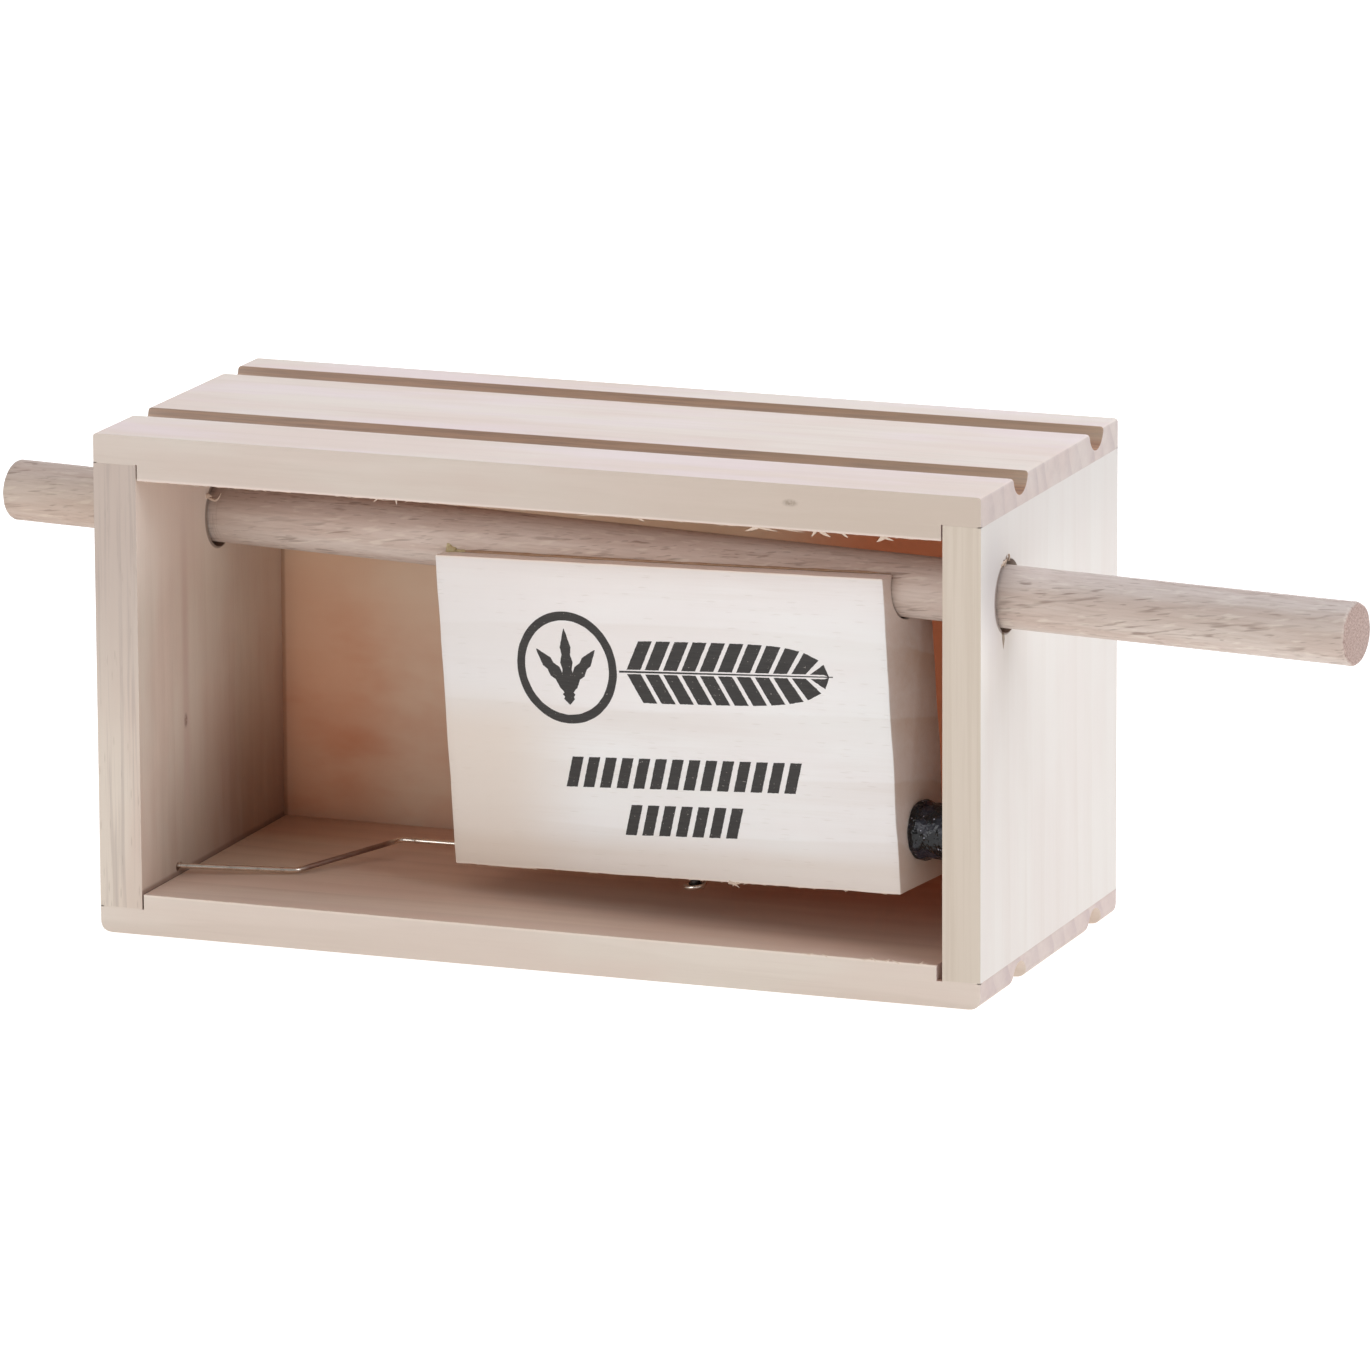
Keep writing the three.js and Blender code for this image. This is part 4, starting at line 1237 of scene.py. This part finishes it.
def splinters():
    edge_z, floor_z = top_low.z, bottom_high.z
    left, right = left_high.x + 1, right_low.x - 1
    fibres = edge_fibres(left, right, FRONT_Y, edge_z, -1, 0.8, 1.7, 0.2, 3)
    fibres += edge_fibres(left, right, FRONT_Y, floor_z, 1, 0.9, 2.0, 0.15, 5)
    fibres += chips(
        edge_z,
        (55.0, -1.1, 0.8, 0.95), (54.6, 1.9, 0.45, 0.7), (48.6, 0.9, 0.5, 0.6), (45.2, 1.6, 0.6, 0.8),
        (44.4, -0.6, 0.75, 0.6), (35.4, -1.8, 0.65, 0.8), (35.2, 3.4, 0.35, 0.5), (39.0, 3.8, 0.2, 0.3),
        (16.8, 1.2, 0.35, 0.5), (10.0, -2.6, 0.2, 0.25), (-21.3, 0.2, 0.7, 0.3), (-24.2, -0.7, 0.5, 0.3),
    )
    # The bottom plank's upper front edge is ragged towards the right.
    fibres += chips(
        floor_z - CHIP_ROOT,
        (42.6, 1.4, 0.22, 0.5), (46.5, -1.2, 0.3, 0.45), (50.8, 2.2, 0.2, 0.5), (53.9, -0.9, 0.4, 0.5),
        (54.6, 1.3, 0.32, 0.55), (57.8, -1.6, 0.24, 0.5), (60.2, 0.8, 0.42, 0.45),
        upward=True,
    )
    # Curled slivers left by the drill at the mouth of the left bore.
    mouth = left_high.x
    curls = [
        ((mouth - 0.3, -3.9, 61.9), (mouth + 2.3, -4.2, 62.5), (0.4, -0.2, -0.9), 0.7, 0.3),
        ((mouth - 0.3, -4.4, 61.7), (mouth + 1.0, -4.6, 61.9), (0.2, -0.2, 0.3), 0.9, 0.3),
        ((mouth - 0.3, -2.2, 63.3), (mouth + 1.4, -2.4, 64.3), (0.3, -0.2, 0.25), 0.8, 0.25),
    ]
    # Raised fibres round the tear in the right wall's outer face.
    outer = right_high.x
    curls += [
        ((outer - 0.4, -21.6, 64.2), (outer + 0.25, -20.6, 65.0), (0.1, 0.0, 0.1), 0.7, 0.2),
        ((outer - 0.4, -18.2, 64.6), (outer + 0.3, -19.2, 65.7), (0.1, 0.0, 0.1), 0.8, 0.2),
        ((outer - 0.4, -20.0, 64.0), (outer + 0.15, -19.7, 65.1), (0.1, 0.0, 0.1), 0.6, 0.2),
    ]
    for base, tip, sag, width, thickness in curls:
        fibres.append(sliver(base, tip, sag, width, thickness, 7))
    new_piece("box_torn_fibres", gather(fibres), torn_fibres, 60, "box")

    # Fuzz and one torn flake along the foot of the block's face.
    face_y, foot = -block_half.y, -block_half.z
    tufts = edge_fibres(-35.0, 36.0, face_y + 0.05, foot, -1, 0.5, 1.4, 0.16, 9)
    for start, end, drop, width, thickness in ((9.0, 10.8, 0.65, 0.8, 0.25), (10.8, 9.6, 0.5, 0.6, 0.2)):
        base, tip = (start, face_y + 0.1, foot + 0.1), (end, face_y, foot - drop)
        tufts.append(sliver(base, tip, (0, 0, 0.15), width, thickness))
    new_piece("block_torn_fibres", gather(tufts), torn_fibres, 60, "striker")


def lump(centre, size, seed):
    """A swollen blob of glue."""
    rings = []
    for i in range(15):
        x, r = -math.cos(math.pi * i / 14), max(math.sin(math.pi * i / 14), 0.03)
        ring = []
        for a in circle(20):
            y, z = r * math.cos(a), r * math.sin(a)
            swell = 1 + 0.35 * noise3(x * 1.4 + seed, y * 1.4, z * 1.4)
            ring.append(tuple(c + s * v * swell for c, s, v in zip(centre, size, (x, y, z))))
        rings.append(ring)
    return loft(rings)


def seam_point(x):
    """Where the rod's skin meets the land along the top of the block's front face, at this X."""
    centre = cove_centre(x)
    rise = block_half.z - centre.z
    return Vector((x, centre.y - math.sqrt(max(rod_radius**2 - rise**2, 0.0)), block_half.z))


def glue_bead():
    """Glue squeezed out at the block's top left corner, and a dark strip along the rod that is a painted
    shadow of the seam.
    """
    corner = seam_point(-block_half.x + 1.4)
    lumps = [
        lump(corner + Vector((0.0, -0.15, 0.25)), (0.9, 0.5, 0.55), 1.0),
        lump(corner + Vector((-0.3, 0.1, 0.75)), (0.6, 0.35, 0.5), 3.0),
        lump(corner + Vector((1.7, -0.1, 0.12)), (1.0, 0.35, 0.2), 5.0),
    ]
    new_piece("glue_bead", gather(lumps), glue, 60, "striker")

    # The dark strip along the rod paints the shadow in the gap between rod and land.
    stations = 60
    start, end = -block_half.x + 2.6, block_half.x - 0.6
    rings = []
    for i in range(stations + 1):
        t = i / stations
        middle = seam_point(start + (end - start) * t) + Vector((0.0, 0.0, 0.05))
        fade = min(1.0, t * 14 + 0.25, (1 - t) * 14 + 0.25)
        size = fade * (0.2 + 0.1 * noise3(t * 22, 0.0, 3.0) + 0.12 * (1 - t) ** 3)
        spokes = [(1.2 * size * math.cos(a), size * math.sin(a)) for a in circle(8)]
        rings.append([(middle.x, middle.y + dy, middle.z + dz) for dy, dz in spokes])
    new_piece("seam_shadow_strip", loft(rings), painted_seam_shadow, 60, "striker")


BORE_Z = 59.3


def torn_bore():
    """Cuts a torn notch above and a crack below the rod's hole in the right wall."""
    notch = [(-22.7, 4.2), (-22.2, 5.3), (-21.4, 5.2), (-20.8, 6.0), (-20.1, 5.6)]
    notch += [(-19.4, 6.5), (-18.8, 5.7), (-18.1, 6.0), (-17.6, 4.6), (-20.2, 4.0)]
    crack = [(-21.8, -4.2), (-20.5, -4.4), (-20.2, -6.2), (-20.8, -7.8), (-21.3, -6.6)]
    shapes = []
    for corners, depth in ((notch, 1.5), (crack, 2.2)):
        outline = [(y, BORE_Z + rise) for y, rise in corners]
        mid_y = sum(y for y, z in outline) / len(outline)
        mid_z = sum(z for y, z in outline) / len(outline)
        rings = []
        for x, shrink in ((right_high.x + 0.8, 1.0), (right_high.x - depth, 0.55)):
            ring = [(mid_y + (y - mid_y) * shrink, mid_z + (z - mid_z) * shrink) for y, z in outline]
            rings.append([(x, y, z) for y, z in ring])
        shapes.append(loft(rings))
    cutter = new_piece("bore_tear_cutter", gather(shapes), right_wall_wood, 30)
    cutter.hide_render = True
    cutter.hide_viewport = True
    wall = frame["nodes"]["right_end_panel"]
    cut = wall.modifiers.new("tear", "BOOLEAN")
    cut.operation = "DIFFERENCE"
    cut.solver = "EXACT"
    cut.object = cutter


def box_part(low, high):
    """A rectangular bar between two corners."""
    (x0, y0, z0), (x1, y1, z1) = low, high
    rings = [[(x, y0, z0), (x, y1, z0), (x, y1, z1), (x, y0, z1)] for x in (x0, x1)]
    return loft(rings)


SEAM_HALF = 0.22
SEAM_SUNK = 0.02
SEAM_DEPTH = 0.5


def joint_filler():
    """Wood filler rubbed flush into the seams where the end walls meet the planks."""
    for name, material, at_top in (
        ("top_joint_filler", plank_top_wood, True),
        ("bottom_joint_filler", plank_bottom_wood, False),
    ):
        bars = []
        for low, high, outward in ((left_low, left_high, -1), (right_low, right_high, 1)):
            z = high.z if at_top else low.z
            foot, head = z - SEAM_HALF, z + SEAM_HALF
            skin = (low.x if outward < 0 else high.x) - outward * SEAM_SUNK
            x0, x1 = sorted((skin, skin - outward * SEAM_DEPTH))
            front, back = low.y + SEAM_SUNK, high.y - SEAM_SUNK
            bars.append(box_part((x0, front, foot), (x1, back, head)))
            x0, x1 = low.x + SEAM_SUNK, high.x - SEAM_SUNK
            for y0, y1 in ((front, front + SEAM_DEPTH), (back - SEAM_DEPTH, back)):
                bars.append(box_part((x0, y0, foot), (x1, y1, head)))
        new_piece(name, gather(bars), material, 30, "box")


splinters()
joint_filler()
glue_bead()
torn_bore()

# ---- Floor, light and camera ----

FLOOR_SIZE = 12.0
FLOOR_DROP = 0.0002
LIT_POINT = Vector((0.0, 0.0, 0.04))


def floor():
    n = Nodes("studio_floor")
    grain = n.noise(n.position(), 2.0, scale=0.02)
    diffuse = n.add("BsdfDiffuse", {"Color": n.mix(grain, (186, 186, 186), (190, 190, 190))})
    seen = n.add("LightPath").outputs["Is Camera Ray"]
    glow = n.add("Emission", {"Color": (1, 1, 1, 1), "Strength": n.slope(seen, 0.25, 0.62)})
    n.output(n.add("AddShader", {0: diffuse.outputs[0], 1: glow.outputs[0]}))
    mesh = bpy.data.meshes.new("floor")
    half = FLOOR_SIZE / 2
    corners = [(-half, -half, 0), (half, -half, 0), (half, half, 0), (-half, half, 0)]
    mesh.from_pydata(corners, [], [(0, 1, 2, 3)])
    mesh.materials.append(n.material)
    piece = add_object("floor", mesh)
    piece.location.z = -FLOOR_DROP


def softbox(name, location, size, brightness, tint=(1, 1, 1)):
    """An area light that gives a white card at the object this radiance."""
    light = bpy.data.lights.new(name, "AREA")
    light.shape = "RECTANGLE"
    light.size, light.size_y = size
    aim = LIT_POINT - Vector(location)
    light.energy = brightness * math.pi**2 * aim.length_squared
    light.color = tint
    lamp = add_object(name, light)
    lamp.location = location
    lamp.rotation_euler = aim.to_track_quat("-Z", "Y").to_euler()
    lamp.visible_camera = False


def world():
    surroundings = bpy.data.worlds.new("studio")
    surroundings.use_nodes = True
    background = surroundings.node_tree.nodes["Background"]
    background.inputs["Color"].default_value = (1, 1, 1, 1)
    background.inputs["Strength"].default_value = 0.3
    bpy.context.scene.world = surroundings


# The view was solved from the corners of the box: its place in metres, its lens in millimetres.
AZIMUTH = math.radians(21.004)
ELEVATION = math.radians(12.841)
ROLL = math.radians(-0.281)
FOCAL_LENGTH = 284.29
CAMERA_PLACE = Vector((0.5764, -1.4690, 0.3962))


def camera():
    lens = bpy.data.cameras.new("camera")
    lens.sensor_width = 36.0
    lens.lens = FOCAL_LENGTH
    lens.clip_end = 50.0
    level = math.cos(ELEVATION)
    back = Vector((math.sin(AZIMUTH) * level, -math.cos(AZIMUTH) * level, math.sin(ELEVATION)))
    right = Vector((0, 0, 1)).cross(back).normalized()
    up = back.cross(right)
    rolled_right = right * math.cos(ROLL) + up * math.sin(ROLL)
    rolled_up = up * math.cos(ROLL) - right * math.sin(ROLL)
    eye = add_object("camera", lens)
    eye.matrix_world = Matrix.Translation(CAMERA_PLACE) @ turn_to(rolled_right, rolled_up, back)
    bpy.context.scene.camera = eye


floor()
world()
softbox("right_softbox", (1.3, -0.25, 0.7), (0.9, 0.9), 0.36, tint=(0.96, 1.0, 1.08))
softbox("top_softbox", (0.1, 0.35, 1.4), (1.2, 1.2), 0.66, tint=(0.96, 0.99, 1.1))
softbox("front_softbox", (-0.6, -1.45, 0.42), (1.0, 0.5), 0.21, tint=(0.99, 1.0, 1.02))
softbox("back_softbox", (-0.1, 1.0, 0.07), (0.7, 0.35), 0.59)
camera()
bpy.context.scene.view_settings.view_transform = "Standard"
